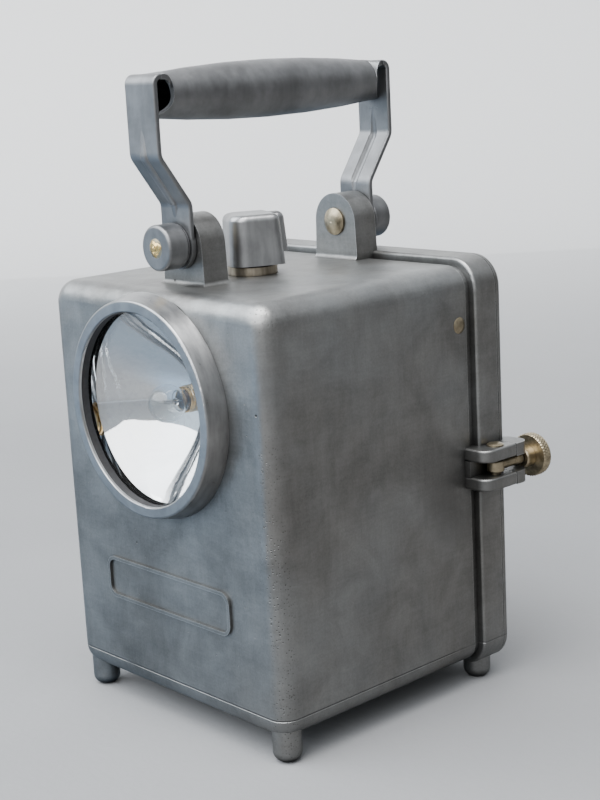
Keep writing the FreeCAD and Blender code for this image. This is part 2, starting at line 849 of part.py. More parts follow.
def reflector():
    """A true paraboloid in thin sheet, with a flat flange in front and a neck behind."""
    rim = number("reflector_radius")
    neck = number("neck_radius")
    sheet_wall = number("reflector_wall")
    shoulder = -number("reflector_shoulder")
    apex = -number("reflector_depth")
    flange = number("seat_radius - seat_gap")
    flange_top = number("reflector_flange")
    tail = apex - number("neck_length")

    def parabola(grow):
        """From the rim to the neck: a parabola is one curve with a single middle pole."""
        outer = rim + grow
        inner = neck + grow
        drop = (shoulder - apex) / (rim * rim - neck * neck)
        start = Vector(outer, 0, shoulder - grow)
        end = Vector(inner, 0, apex - grow)
        middle = Vector((outer + inner) / 2, 0, end.z + drop * inner * (outer - inner))
        curve = Part.BezierCurve()
        curve.setPoles([start, middle, end])
        return curve.toShape()

    inside = parabola(0)
    outside = parabola(sheet_wall)
    corners = [
        Vector(rim, 0, shoulder),
        Vector(rim, 0, flange_top),
        Vector(flange, 0, flange_top),
        Vector(flange, 0, 0),
        Vector(rim + sheet_wall, 0, 0),
        Vector(rim + sheet_wall, 0, shoulder - sheet_wall),
    ]
    tail_corners = [
        Vector(neck + sheet_wall, 0, apex - sheet_wall),
        Vector(neck + sheet_wall, 0, tail),
        Vector(neck, 0, tail),
        Vector(neck, 0, apex),
    ]
    edges = [inside, outside]
    for line in (corners, tail_corners):
        edges += [Part.LineSegment(a, b).toShape() for a, b in zip(line, line[1:])]
    section = Part.Face(Part.Wire(Part.__sortEdges__(edges)))
    shape = section.revolve(Vector(), Vector(0, 0, 1), 360)
    dish = doc.addObject("Part::Feature", "reflector")
    dish.Label = "reflector"
    dish.Shape = Part.Solid(shape) if shape.ShapeType == "Shell" else shape
    return on_lens_axis(dish)


def globe(radius):
    """Where a ball of this radius about the bulb's centre meets the neck."""
    return f"-bulb_centre - sqrt(({radius})^2 - (bulb_neck)^2)"


def bulb_glass():
    """The lamp's round glass, hollow, with its neck going down into the cap."""
    inner = "bulb_radius - bulb_wall"
    thin_neck = "bulb_neck - bulb_wall"
    glass = turned_body("bulb_glass", [
        ("0", f"-bulb_centre + ({inner})", inner, "left"),
        ("0", "-bulb_centre + bulb_radius"),
        ("bulb_neck", globe("bulb_radius"), "bulb_radius", "right"),
        ("bulb_neck", "-bulb_tail"),
        (thin_neck, "-bulb_tail"),
        (thin_neck, f"-bulb_centre - sqrt(({inner})^2 - ({thin_neck})^2)"),
    ])
    return on_lens_axis(glass)


def bulb_cap():
    """The lamp's brass screw cap, open in front."""
    bore = "bulb_neck + seat_gap"
    cap = turned_body("bulb_cap", [
        ("0", "-cap_back"),
        ("cap_radius - bulb_wall", "-cap_back"),
        ("cap_radius", "-cap_back + bulb_wall"),
        ("cap_radius", "-cap_front"),
        (bore, "-cap_front"),
        (bore, "-cap_back + 2 * bulb_wall"),
        ("0", "-cap_back + 2 * bulb_wall"),
    ])
    return on_lens_axis(cap)


def bulb_contact():
    """The lamp's lead tip, behind the cap."""
    tip = turned_body("bulb_contact", [
        ("0", "-cap_back - seat_gap"),
        ("0", "-cap_back - tip_length"),
        ("tip_radius", "-cap_back - tip_length / 2", "tip_radius", "left"),
        ("tip_radius", "-cap_back - seat_gap"),
    ])
    return on_lens_axis(tip)


def lamp_holder():
    """The brass sleeve soldered in the reflector's neck."""
    outer = "neck_radius - seat_gap"
    sleeve = turned_body("lamp_holder", [
        ("cap_radius + seat_gap", "-holder_back"),
        ("neck_radius + reflector_wall", "-holder_back"),
        ("neck_radius + reflector_wall", "-reflector_depth - neck_length - seat_gap"),
        (outer, "-reflector_depth - neck_length - seat_gap"),
        (outer, "-holder_front"),
        ("cap_radius + seat_gap", "-holder_front"),
    ])
    return on_lens_axis(sleeve)


def holder_insulator():
    """The fibre disc behind the sleeve, with a raised middle that centres it."""
    disc = turned_body("holder_insulator", [
        ("0", "-holder_back - insulator_thick"),
        ("insulator_radius", "-holder_back - insulator_thick"),
        ("insulator_radius", "-holder_back"),
        ("cap_radius - seat_gap", "-holder_back"),
        ("cap_radius - seat_gap", "-cap_back - tip_length - strip_thick"),
        ("0", "-cap_back - tip_length - strip_thick"),
    ])
    return on_lens_axis(disc)


def bent_strip(label, points, across, width):
    """Flat strip bent in the side view: a thin outline swept along its centre line."""
    body = new_body(label)
    path = new_sketch(body, label + "_path", "side", across)
    draw_run(path, points, "strip_bend")
    section = new_sketch(body, label + "_section", "front", points[0][0])
    half = f"({width}) / 2"
    low = f"({points[0][1]}) - strip_thick / 2"
    high = f"({points[0][1]}) + strip_thick / 2"
    draw(section, [
        (f"{across} - {half}", low),
        (f"{across} + {half}", low),
        (f"{across} + {half}", high),
        (f"{across} - {half}", high),
    ])
    strip = body.newObject("PartDesign::AdditivePipe", label + "_sweep")
    strip.Profile = section
    strip.Spine = (path, [f"Edge{index + 1}" for index in range(2 * len(points) - 3)])
    doc.recompute()
    return place(body)


def lamp_strip():
    """The brass strip from the battery's middle terminal up to the lamp holder."""
    level = f"{TERMINAL_TOP} + strip_thick / 2"
    upright = f"{LEAD_BACK} + strip_thick"
    return bent_strip("lamp_strip", [
        ("terminal_along + terminal_size / 2", level),
        (upright, level),
        (upright, f"{LENS} + insulator_radius / 2"),
    ], "0", "strip_wide")


def battery_contact():
    """The brass leaf from the switch deck down to the battery's side terminal."""
    foot = f"{TERMINAL_TOP} + strip_thick / 2"
    deck = f"{DECK_TOP} + strip_thick / 2"
    down = "switch_along + deck_long / 2 + 2 * strip_bend"
    return bent_strip("battery_contact", [
        ("switch_along - deck_long / 4", deck),
        (down, deck),
        (down, foot),
        (f"{down} + terminal_size", foot),
    ], "-contact_across", "strip_wide")


def earth_contact():
    """The brass leaf on the switch deck that the blade joins to the casting."""
    deck = f"{DECK_TOP} + strip_thick / 2"
    rise = f"{BLADE_BOTTOM} - part_gap - strip_thick / 2"
    return bent_strip("earth_contact", [
        ("switch_along + deck_long / 2", deck),
        ("switch_along - deck_long / 2", deck),
        ("switch_along - deck_long / 2 - strip_bend", f"{deck} + 3 * strip_bend"),
        ("switch_along", rise),
    ], "contact_across", "strip_wide")


def battery_case():
    """The battery's jacket with a rolled bead at its foot and head."""
    body = new_body("battery_case")
    half = "battery_wide / 2"
    main = new_sketch(body, "jacket", "top", FLOOR)
    draw(main, rounded_box(f"-{half}", half, BATTERY_FRONT, BATTERY_BACK, "battery_corner", "battery_corner"))
    pad(body, main, "battery_tall")
    for name, level in {"foot": FLOOR, "head": f"{FLOOR} + battery_tall - battery_bead_tall"}.items():
        bead = new_sketch(body, "bead_" + name, "top", level)
        radius = "battery_corner + battery_bead"
        draw(bead, rounded_box(
            f"-({half} + battery_bead)", f"{half} + battery_bead",
            f"{BATTERY_FRONT} - battery_bead", f"{BATTERY_BACK} + battery_bead", radius, radius,
        ))
        pad(body, bead, "battery_bead_tall")
    return place(body)


def battery_cover():
    """The battery's insulating top board."""
    body = new_body("battery_cover")
    board = new_sketch(body, "cover_board", "top", f"{FLOOR} + battery_tall")
    half = "battery_wide / 2"
    draw(board, rounded_box(f"-{half}", half, BATTERY_FRONT, BATTERY_BACK, "battery_corner", "battery_corner"))
    pad(body, board, "cover_thick")
    return place(body)


def battery_terminals():
    """Two flat brass terminals on the battery's top board."""
    terminals = []
    for name, across, along in (
        ("middle_terminal", "0", "terminal_along"),
        ("side_terminal", "-terminal_across", "terminal_along"),
    ):
        body = new_body(name)
        leaf = new_sketch(body, name + "_leaf", "top")
        half = "terminal_size / 2"
        draw(leaf, rounded_box(f"-{half}", half, f"-{half}", half, "terminal_thick", "terminal_thick"))
        pad(body, leaf, "terminal_thick")
        terminals.append(place(body, across, along, BATTERY_TOP))
    return group("battery_terminals", terminals)


def battery_spring():
    """The leaf spring riveted inside the right wall, which bears on the battery."""
    body = new_body("battery_spring")
    wall_face = f"{HALF} - wall - spring_thick / 2"
    bearing = "battery_wide / 2 + spring_thick / 2 + seat_gap"
    path = new_sketch(body, "spring_path", "front", "rivet_along")
    draw_run(path, [
        (wall_face, f"{RIVET} + spring_wide / 2"),
        (wall_face, f"{RIVET} - spring_wide / 2"),
        (bearing, f"{FLOOR} + battery_tall - battery_bead_tall - spring_wide"),
        (f"{bearing} + spring_wide / 2", f"{FLOOR} + battery_tall / 2"),
    ], "2 * strip_bend")
    section = new_sketch(body, "spring_section", "top", f"{RIVET} + spring_wide / 2")
    draw(section, [
        (f"{wall_face} - spring_thick / 2", "rivet_along - spring_wide / 2"),
        (f"{wall_face} + spring_thick / 2", "rivet_along - spring_wide / 2"),
        (f"{wall_face} + spring_thick / 2", "rivet_along + spring_wide / 2"),
        (f"{wall_face} - spring_thick / 2", "rivet_along + spring_wide / 2"),
    ])
    leaf = body.newObject("PartDesign::AdditivePipe", "spring_sweep")
    leaf.Profile = section
    leaf.Spine = (path, [f"Edge{index + 1}" for index in range(5)])
    doc.recompute()
    hole = new_sketch(body, "spring_hole", "side", f"{HALF} - wall")
    draw_circle(hole, "rivet_along", RIVET, "rivet_shank + seat_gap")
    cut(body, hole, "spring_thick")
    return place(body)


def side_rivet():
    """The brass rivet through the right wall, headed on both sides."""
    inside = "wall + spring_thick"
    rivet = turned_body("side_rivet", [
        ("0", "rivet_proud", dome("rivet_head", "rivet_proud - seat_gap"), "left"),
        ("0", f"-({inside}) - rivet_proud"),
        ("rivet_head", f"-({inside}) - seat_gap", dome("rivet_head", "rivet_proud - seat_gap"), "left"),
        ("rivet_shank", f"-({inside}) - seat_gap"),
        ("rivet_shank", "seat_gap"),
        ("rivet_head", "seat_gap"),
    ])
    return place(rivet, HALF, "rivet_along", RIVET, RIGHTWARD)


def on_switch_axis(part, level):
    return place(part, "0", "switch_along", level)


def switch_collar():
    """The brass bush: a flange on the roof and a neck through it."""
    bush = turned_body("switch_collar", [
        ("shaft_radius + running", "-(wall + bush_below)"),
        ("bush_radius", "-(wall + bush_below)"),
        ("bush_radius", "seat_gap"),
        ("collar_radius", "seat_gap"),
        ("collar_radius", "collar_tall - knob_bottom"),
        ("collar_radius - knob_bottom", "collar_tall", "knob_bottom", "left"),
        ("shaft_radius + running", "collar_tall"),
    ])
    return on_switch_axis(bush, TOP)


def bush_nut():
    """The hexagon nut that holds the bush under the roof."""
    body = new_body("bush_nut")
    hexagon = new_sketch(body, "bush_nut_hexagon", "top")
    radius = "bush_nut_radius"
    corners = [(f"{radius} * cos({60 * step})", f"{radius} * sin({60 * step})") for step in range(6)]
    draw(hexagon, corners)
    pad(body, hexagon, "bush_nut_thick")
    bore = new_sketch(body, "bush_nut_bore", "top", "bush_nut_thick")
    draw_circle(bore, "0", "0", "bush_radius + seat_gap")
    cut(body, bore, "bush_nut_thick")
    return on_switch_axis(body, f"{ROOF} - bush_nut_thick - seat_gap")


def switch_shaft():
    """The steel shaft from the knob down to the rotor."""
    shaft = turned_body("switch_shaft", [
        ("0", ROTOR_BOTTOM),
        ("shaft_radius", ROTOR_BOTTOM),
        ("shaft_radius", f"{KNOB_BOTTOM} + shaft_head"),
        ("0", f"{KNOB_BOTTOM} + shaft_head"),
    ])
    return on_switch_axis(shaft, "0")


def knob_way():
    """The knob's turn about the upright switch axis, as it is set now."""
    return Rotation(Vector(0, 0, 1), number("-knob_turn"))


def drafted(body, name, low, high, rise, tall):
    """A solid that changes evenly from one outline to another, tall above it."""
    sections = []
    for part, outline, level in (("foot", low, rise), ("head", high, f"{rise} + {tall}")):
        section = new_sketch(body, f"{name}_{part}", "top", level)
        draw(section, outline)
        sections.append(section)
    loft = body.newObject("PartDesign::AdditiveLoft", name)
    loft.Profile = sections[0]
    loft.Sections = sections[1:]
    loft.Ruled = True
    doc.recompute()


def switch_knob():
    """The knob: a stout block over the shaft, rounded in front, with a thumb tab behind."""
    body = new_body("switch_knob")
    corners = ("knob_corner", "knob_back_corner")

    def block(shrink, back):
        side = f"(knob_side - {shrink})"
        front = f"-(knob_front - {shrink})"
        return rounded_box(f"-{side}", side, front, f"knob_back - {back}", *corners)

    def tab(shrink):
        half = "tab_thick / 2"
        reach = f"tab_reach - {shrink}"
        return rounded_box(f"-{half}", half, "knob_back / 2", reach, "tab_corner", "tab_corner")

    drafted(body, "knob_block", block("0", "0"), block("knob_draft", "knob_draft_back"), "0", "knob_tall")
    bore = new_sketch(body, "knob_bore", "top")
    draw_circle(bore, "0", "0", "shaft_radius + seat_gap / 2")
    cut(body, bore, "shaft_head + seat_gap", backward=True)
    screw = new_sketch(body, "knob_screw_hole", "side", "-shaft_radius")
    draw_circle(screw, "0", "shaft_head / 2", "knob_screw + seat_gap")
    cut(body, screw, "knob_side")
    drafted(body, "knob_tab", tab("0"), tab("tab_draft"), "tab_rise", "knob_tall - tab_rise")
    top = number("knob_tall")
    round_edges(body, "knob_round", lambda edge: lies_at(edge, z=top))
    return place(body, "0", "switch_along", KNOB_BOTTOM, knob_way())


def knob_screw():
    """The grub screw that holds the knob on the shaft, on the knob's left side."""
    screw = turned_body("knob_screw", [
        ("0", "shaft_radius + seat_gap"),
        ("knob_screw", "shaft_radius + seat_gap"),
        ("knob_screw", "knob_side - knob_draft - part_gap"),
        ("0", "knob_side - knob_draft - part_gap"),
    ])
    turned = knob_way().multiply(LEFTWARD)
    return place(screw, "0", "switch_along", f"{KNOB_BOTTOM} + shaft_head / 2", turned)


def switch_rotor():
    """The insulating drum at the shaft's foot, with a slot for the blade."""
    drum = turned_body("switch_rotor", [
        ("shaft_radius + seat_gap / 2", "0"),
        ("rotor_radius", "0"),
        ("rotor_radius", "rotor_tall"),
        ("rotor_radius * 3 / 4", "rotor_tall + blade_thick"),
        ("shaft_radius + seat_gap / 2", "rotor_tall + blade_thick"),
    ])
    return on_switch_axis(drum, ROTOR_BOTTOM)


def switch_blade():
    """The brass blade under the rotor that bridges the two contacts."""
    body = new_body("switch_blade")
    blade = new_sketch(body, "blade_outline", "top")
    half = "blade_long / 2"
    wide = "blade_wide / 2"
    corner = "blade_wide / 4"
    draw(blade, rounded_box(f"-{half}", half, f"-{wide}", wide, corner, corner))
    pad(body, blade, "blade_thick - seat_gap")
    return on_switch_axis(body, BLADE_BOTTOM)


def contact_deck():
    """The insulating board that carries the contacts under the rotor."""
    body = new_body("contact_deck")
    deck = new_sketch(body, "deck_outline", "top")
    half = "deck_wide / 2"
    long = "deck_long / 2"
    draw(deck, rounded_box(f"-{half}", half, f"-{long}", long, "deck_thick", "deck_thick"))
    pad(body, deck, "deck_thick")
    return on_switch_axis(body, f"{DECK_TOP} - deck_thick")


def deck_pillars():
    """Two pillars that hang the contact deck from the roof."""
    pillars = []
    for name, across in (("left_pillar", "-pillar_across"), ("right_pillar", "pillar_across")):
        pillar = turned_body(name, [
            ("0", DECK_TOP),
            ("pillar_radius", DECK_TOP),
            ("pillar_radius", f"{ROOF} - seat_gap"),
            ("0", f"{ROOF} - seat_gap"),
        ])
        pillars.append(place(pillar, across, "switch_along", "0"))
    return group("deck_pillars", pillars)


def handle():
    """One pressed strip: two eyes, cranked arms and a top rolled into a barrel grip."""
    body = new_body("handle")
    add_grip(body)
    for end, way, scoop in (("front", "-", "scoop_front"), ("back", "+", "scoop_back")):
        add_arm(body, end, way)
        add_shoulder(body, end, way, scoop)
        add_arm_rib(body, end, way)
        add_eye(body, end, way)
    bore = new_sketch(body, "eye_bores", "front", f"lug_middle + {EYE_OUTER}")
    draw_circle(bore, "0", PIVOT, "screw_radius + running")
    cut(body, bore, f"2 * {EYE_OUTER}", backward=True)
    return place(body)


def grip_radius(reach):
    """The barrel's outer radius at a distance from its middle; it swells towards the middle."""
    return f"(grip_middle - (grip_middle - grip_end) * (({reach}) / {GRIP_REACH})^2)"


def revolve_level(body, name, shrink, kind):
    """Turns the bowed barrel, or its bore, about the grip's level axis."""
    half_long = "(arm_outer - strap_thick / 2)"
    outline = [(f"lug_middle + {half_long}", GRIP_HEIGHT)]
    for step in range(7):
        reach = f"({3 - step} / 3 * {half_long})"
        outline.append((f"lug_middle + {reach}", f"{GRIP_HEIGHT} + {grip_radius(reach)} - {shrink}"))
    outline.append((f"lug_middle - {half_long}", GRIP_HEIGHT))
    sketch = new_sketch(body, name, "side")
    draw(sketch, outline)
    axis = sketch.addGeometry(Part.LineSegment(
        Vector(number(outline[-1][0]), number(GRIP_HEIGHT), 0),
        Vector(number(outline[0][0]), number(GRIP_HEIGHT), 0),
    ), True)
    fix_point(sketch, axis, 1, *outline[-1])
    fix_point(sketch, axis, 2, *outline[0])
    feature = body.newObject(kind, name + "_turned")
    feature.Profile = sketch
    feature.ReferenceAxis = (sketch, ["Axis0"])
    feature.Angle = 360
    doc.recompute()


def add_grip(body):
    """The barrel, hollow, open at each end above and at both sides of its lower half."""
    revolve_level(body, "grip_barrel", "0", "PartDesign::Revolution")
    before = body.Shape.Volume
    revolve_level(body, "grip_bore", "grip_wall", "PartDesign::Groove")
    if body.Shape.Volume > before - TINY:
        raise RuntimeError("the grip's bore cuts nothing")
    mouths = new_sketch(body, "grip_mouths", "side", "-grip_middle")
    low = f"{GRIP_HEIGHT} - scoop_drop"
    high = f"{GRIP_HEIGHT} + grip_middle"
    for out, into, depth, side in (("-", "+", "scoop_front", "left"), ("+", "-", "scoop_back", "right")):
        end = f"lug_middle {out} arm_outer"
        face = f"lug_middle {out} {ARM_INNER}"
        draw(mouths, [
            (end, low),
            (face, low),
            (f"{face} {into} {depth}", GRIP_HEIGHT, f"({depth} + scoop_drop) / 2", side),
            (f"{face} {into} {depth}", high),
            (end, high),
        ])
    cut(body, mouths, "2 * grip_middle", backward=True)


def add_arm(body, end, way):
    """One arm: the strip bent from the eye outward, up, and over into the grip."""
    eye = f"lug_middle {way} ({EYE_INNER} + strap_thick / 2)"
    arm = f"lug_middle {way} (arm_outer - strap_thick / 2)"
    top = f"{HANDLE_TOP} - strap_thick / 2"
    path = new_sketch(body, end + "_arm_path", "side")
    draw_run(path, [
        (eye, PIVOT),
        (eye, f"{PIVOT} + low_bend"),
        (arm, f"{PIVOT} + high_bend"),
        (arm, top, "fold_radius - strap_thick / 2"),
        (f"lug_middle {way} ({GRIP_REACH} - part_gap)", top),
    ], "bend_radius")
    section = new_sketch(body, end + "_arm_section", "top", PIVOT)
    near = f"{eye} - strap_thick / 2"
    far = f"{eye} + strap_thick / 2"
    draw(section, rounded_box("-strap_wide / 2", "strap_wide / 2", near, far, "strap_edge", "strap_edge"))
    sweep(body, end + "_arm", section, path, 7)


def sweep(body, name, section, path, runs, kind="Additive"):
    """Moves an outline along a path, to add to the body or to take away from it."""
    feature = body.newObject(f"PartDesign::{kind}Pipe", name)
    feature.Profile = section
    feature.Spine = (path, [f"Edge{index + 1}" for index in range(runs)])
    doc.recompute()


def add_shoulder(body, end, way, scoop):
    """The strip's turn from flat to half round, where an arm runs into the grip."""
    flat_reach = number(GRIP_REACH)
    round_reach = number(f"{ARM_INNER} - {scoop} - part_gap")
    sections = []
    for index, (share, curl) in enumerate(CURLS):
        reach = flat_reach + (round_reach - flat_reach) * share
        radius = number(grip_radius(reach))
        half = number("(strap_wide - strap_edge) / 2") * (1 - curl) + radius * curl
        drop = radius * curl
        bow = (half ** 2 + drop ** 2) / (2 * drop)
        skin = number("shoulder_skin") * (1 - share)
        inner_bow = bow + 2 * skin - number("strap_thick") * (1 - share) - number("grip_wall") * share
        shrink = inner_bow / bow
        centre = number(GRIP_HEIGHT) + radius - skin - bow
        edge = centre + bow - drop
        inner_edge = centre + (bow - drop) * shrink
        section = new_sketch(body, f"{end}_shoulder_{index}", "front", f"lug_middle {way} {reach}")
        draw(section, [
            (f"{half}", f"{edge}"),
            (f"{-half}", f"{edge}", f"{bow}", "left"),
            (f"{-half * shrink}", f"{inner_edge}"),
            (f"{half * shrink}", f"{inner_edge}", f"{inner_bow}", "right"),
        ])
        sections.append(section)
    loft = body.newObject("PartDesign::AdditiveLoft", end + "_shoulder")
    loft.Profile = sections[0]
    loft.Sections = sections[1:]
    doc.recompute()


def rib_path(body, name, way, inset, sink):
    """A line along an arm's two bends, inset from its middle, that turns away at both ends."""
    eye = f"lug_middle {way} ({EYE_INNER} + strap_thick / 2 - {inset}"
    arm = f"lug_middle {way} (arm_outer - strap_thick / 2 - {inset}"
    start = (f"{eye} - {sink})", f"{PIVOT} + low_bend - bend_radius")
    path = new_sketch(body, name + "_path", "side")
    draw_run(path, [
        start,
        (f"{eye})", f"{PIVOT} + low_bend"),
        (f"{arm})", f"{PIVOT} + high_bend"),
        (f"{arm} - {sink})", f"{PIVOT} + high_bend + 2 * bend_radius"),
    ], "bend_radius / 2")
    section = new_sketch(body, name + "_section", "top", start[1])
    return path, section, start[0]


def add_arm_rib(body, end, way):
    """The rib pressed out of an arm's bends to stiffen them, and the hollow behind it."""
    path, section, along = rib_path(body, end + "_rib", way, "0", "rib_proud - seat_gap")
    bow = dome("rib_radius", "rib_proud + strap_thick / 2")
    draw(section, [
        ("rib_radius", along),
        ("-rib_radius", along, bow, "left" if way == "+" else "right"),
    ])
    sweep(body, end + "_rib", section, path, 5)
    inset = "(strap_thick / 2 + rib_radius - rib_hollow)"
    path, section, along = rib_path(body, end + "_hollow", way, inset, "rib_hollow + seat_gap")
    draw_circle(section, "0", along, "rib_radius")
    sweep(body, end + "_hollow", section, path, 5, "Subtractive")


def add_eye(body, end, way):
    """The round eye at an arm's foot."""
    face = f"lug_middle - {EYE_INNER}" if end == "front" else f"lug_middle + {EYE_OUTER}"
    eye = new_sketch(body, end + "_eye", "front", face)
    draw_circle(eye, "0", PIVOT, "eye_radius")
    pad(body, eye, "strap_thick")


def at_pivots(label, make, offset):
    """A pair of like pieces on the pivot axis, mirrored about the lugs' middle."""
    pair = []
    for name, way, turned in (("front", "-", FORWARD), ("back", "+", BACKWARD)):
        piece = make(f"{label}_{name}")
        pair.append(place(piece, "0", f"lug_middle {way} ({offset})", PIVOT, turned))
    return group(label, pair)


def pivot_screws():
    """Brass screws, domed heads on the lugs' inner faces and ends peened in the nuts."""
    inner = "lug_outer - lug_thick"
    end = f"{NUT_OUTER} - ({inner})"

    def screw(name):
        return turned_body(name, [
            ("0", "-screw_proud"),
            ("screw_head", "-screw_proud / 3", dome("screw_head", "screw_proud * 2 / 3"), "left"),
            ("screw_head", "0"),
            ("screw_radius", "0"),
            ("screw_radius", end),
            ("0", f"{end} + screw_tip", dome("screw_radius", "screw_tip"), "left"),
        ])

    return at_pivots("pivot_screws", screw, inner)


def pivot_washers():
    def washer(name):
        return turned_body(name, [
            ("screw_radius + seat_gap", "-washer_thick"),
            ("washer_radius", "-washer_thick"),
            ("washer_radius", "0"),
            ("screw_radius + seat_gap", "0"),
        ])

    return at_pivots("pivot_washers", washer, WASHER_OUTER)


def pivot_nuts():
    """Plain round nuts with rounded outer edges."""
    def nut(name):
        return turned_body(name, [
            ("screw_radius + seat_gap", "0"),
            ("nut_radius - strap_edge", "0"),
            ("nut_radius", "strap_edge"),
            ("nut_radius", "nut_length - nut_round"),
            ("nut_radius - nut_round", "nut_length", "nut_round", "left"),
            ("screw_radius + seat_gap", "nut_length"),
        ])

    return at_pivots("pivot_nuts", nut, WASHER_OUTER)


def clasp_pin():
    """The brass pin through both ears, domed on top and peened below."""
    half = "(clasp_slot / 2 + clasp_plate)"
    pin = turned_body("clasp_pin", [
        ("0", f"-{half} - clasp_pin_proud / 4"),
        ("clasp_pin", f"-{half}", dome("clasp_pin", "clasp_pin_proud / 4"), "left"),
        ("clasp_pin", half),
        ("clasp_pin_head", half),
        ("clasp_pin_head", f"{half} + clasp_pin_proud / 3"),
        ("0", f"{half} + clasp_pin_proud", dome("clasp_pin_head", "clasp_pin_proud * 2 / 3"), "left"),
    ])
    return place(pin, BOLT_ACROSS, "bolt_along", "clasp_height")


def swing_bolt():
    """The brass bolt: an eye about the pin and a shank that reaches through the nut."""
    body = new_body("swing_bolt")
    half = "bolt_eye_tall / 2"
    edge = "bolt_eye_tall / 5"
    eye = new_sketch(body, "bolt_eye_section", "front")
    draw(eye, [
        ("clasp_pin + running", f"-{half}"),
        (f"bolt_eye - {edge}", f"-{half}"),
        ("bolt_eye", f"-{half} + {edge}", edge, "left"),
        ("bolt_eye", f"{half} - {edge}"),
        (f"bolt_eye - {edge}", half, edge, "left"),
        ("clasp_pin + running", half),
    ])
    turn(body, eye)
    shank = new_sketch(body, "bolt_shank", "front", "(clasp_pin + bolt_eye) / 2")
    draw_circle(shank, "0", "0", "bolt_radius")
    reach = f"({BOLT_END} - bolt_along)"
    pad(body, shank, f"{reach} - (clasp_pin + bolt_eye) / 2", backward=True)
    return place(body, BOLT_ACROSS, "bolt_along", "clasp_height")


def thumb_nut():
    """The brass thumb nut: a plain boss and a disc with a ring of fine teeth."""
    body = turned_body("thumb_nut", [
        ("bolt_radius + running", "0"),
        ("nut_boss", "0"),
        ("nut_boss", "nut_boss_long"),
        ("knurl_radius - part_gap", "nut_boss_long"),
        ("knurl_radius", "nut_boss_long + part_gap"),
        ("knurl_radius", "nut_boss_long + knurl_long - part_gap"),
        ("knurl_radius - part_gap", "nut_boss_long + knurl_long"),
        ("bolt_radius + running", "nut_boss_long + knurl_long"),
    ])
    notch = new_sketch(body, "knurl_notch", "top", "nut_boss_long")
    draw(notch, [
        ("knurl_radius - part_gap", "0"),
        ("knurl_radius + part_gap", "-part_gap"),
        ("knurl_radius + part_gap", "part_gap"),
    ])
    first = cut(body, notch, "knurl_long", backward=True)
    ring = body.newObject("PartDesign::PolarPattern", "knurl")
    ring.Originals = [first]
    ring.Axis = (notch, ["N_Axis"])
    ring.Angle = 360
    ring.setExpression("Occurrences", sized("knurl_count"))
    body.Tip = ring
    doc.recompute()
    return place(body, BOLT_ACROSS, "prong_back + part_gap", "clasp_height", BACKWARD)


PARTS = [
    body_casting, rear_door, door_gasket, hinge_pins,
    bezel_ring, lens_gasket, lens_glass, reflector,
    bulb_glass, bulb_cap, bulb_contact, lamp_holder, holder_insulator,
    lamp_strip, battery_contact, earth_contact,
    battery_case, battery_cover, battery_terminals, battery_spring, side_rivet,
    switch_collar, bush_nut, switch_shaft, switch_knob, knob_screw,
    switch_rotor, switch_blade, contact_deck, deck_pillars,
    handle, pivot_screws, pivot_washers, pivot_nuts,
    clasp_pin, swing_bolt, thumb_nut,
]


def check_document(parts):
    """Stops if any object failed, or if a sub-part is empty or not valid."""
    for item in doc.Objects:
        if "Invalid" in item.State or "Error" in item.State:
            raise RuntimeError(f"{item.Name} failed: {item.State}")
    for part in parts:
        if part.Shape.isNull() or not part.Shape.isValid():
            raise RuntimeError(part.Label + " has no valid shape")


def main():
    fill_sheet()
    parts = [make() for make in PARTS]
    doc.recompute()
    check_document(parts)
    os.makedirs("parts", exist_ok=True)
    for part in parts:
        part.Shape.exportStep(os.path.join("parts", part.Label + ".step"))
        print(part.Label, len(part.Shape.Solids), "solids", round(part.Shape.Volume), "cubic mm")


main()
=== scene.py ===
import json
import math

import bmesh
import bpy
from mathutils import Matrix, Vector


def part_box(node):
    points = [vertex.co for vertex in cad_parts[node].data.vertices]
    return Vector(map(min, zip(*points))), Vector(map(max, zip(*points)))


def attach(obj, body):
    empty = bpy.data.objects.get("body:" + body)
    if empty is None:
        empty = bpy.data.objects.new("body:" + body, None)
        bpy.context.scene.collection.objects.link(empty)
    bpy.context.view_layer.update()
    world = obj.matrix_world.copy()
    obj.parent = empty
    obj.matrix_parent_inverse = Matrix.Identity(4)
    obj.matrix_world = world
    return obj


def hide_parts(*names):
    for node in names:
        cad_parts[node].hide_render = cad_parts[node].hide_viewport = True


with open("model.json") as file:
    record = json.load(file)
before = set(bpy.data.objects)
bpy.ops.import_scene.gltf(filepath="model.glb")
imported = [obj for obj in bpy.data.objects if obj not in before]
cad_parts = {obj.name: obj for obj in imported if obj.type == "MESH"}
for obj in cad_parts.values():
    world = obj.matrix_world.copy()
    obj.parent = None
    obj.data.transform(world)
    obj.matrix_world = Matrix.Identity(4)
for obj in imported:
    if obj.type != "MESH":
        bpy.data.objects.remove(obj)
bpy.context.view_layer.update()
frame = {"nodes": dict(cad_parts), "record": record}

# Camera: worked out from the photograph's edges, lens ring and feet. FOCAL and LONG_SIDE are in pixels.
AZIMUTH = math.radians(48.021)
ELEVATION = math.radians(12.566)
ROLL = math.radians(-3.012)
EYE = Vector((0.433075, -0.3826, 0.2396))
FOCAL = 1570.47
LONG_SIDE = 800
SENSOR_MM = 36

forward = Vector((
    -math.sin(AZIMUTH) * math.cos(ELEVATION),
    math.cos(AZIMUTH) * math.cos(ELEVATION),
    -math.sin(ELEVATION),
))
right = Vector((math.cos(AZIMUTH), math.sin(AZIMUTH), 0))
up = right.cross(forward)
rolled_right = math.cos(ROLL) * right + math.sin(ROLL) * up
rolled_up = -math.sin(ROLL) * right + math.cos(ROLL) * up

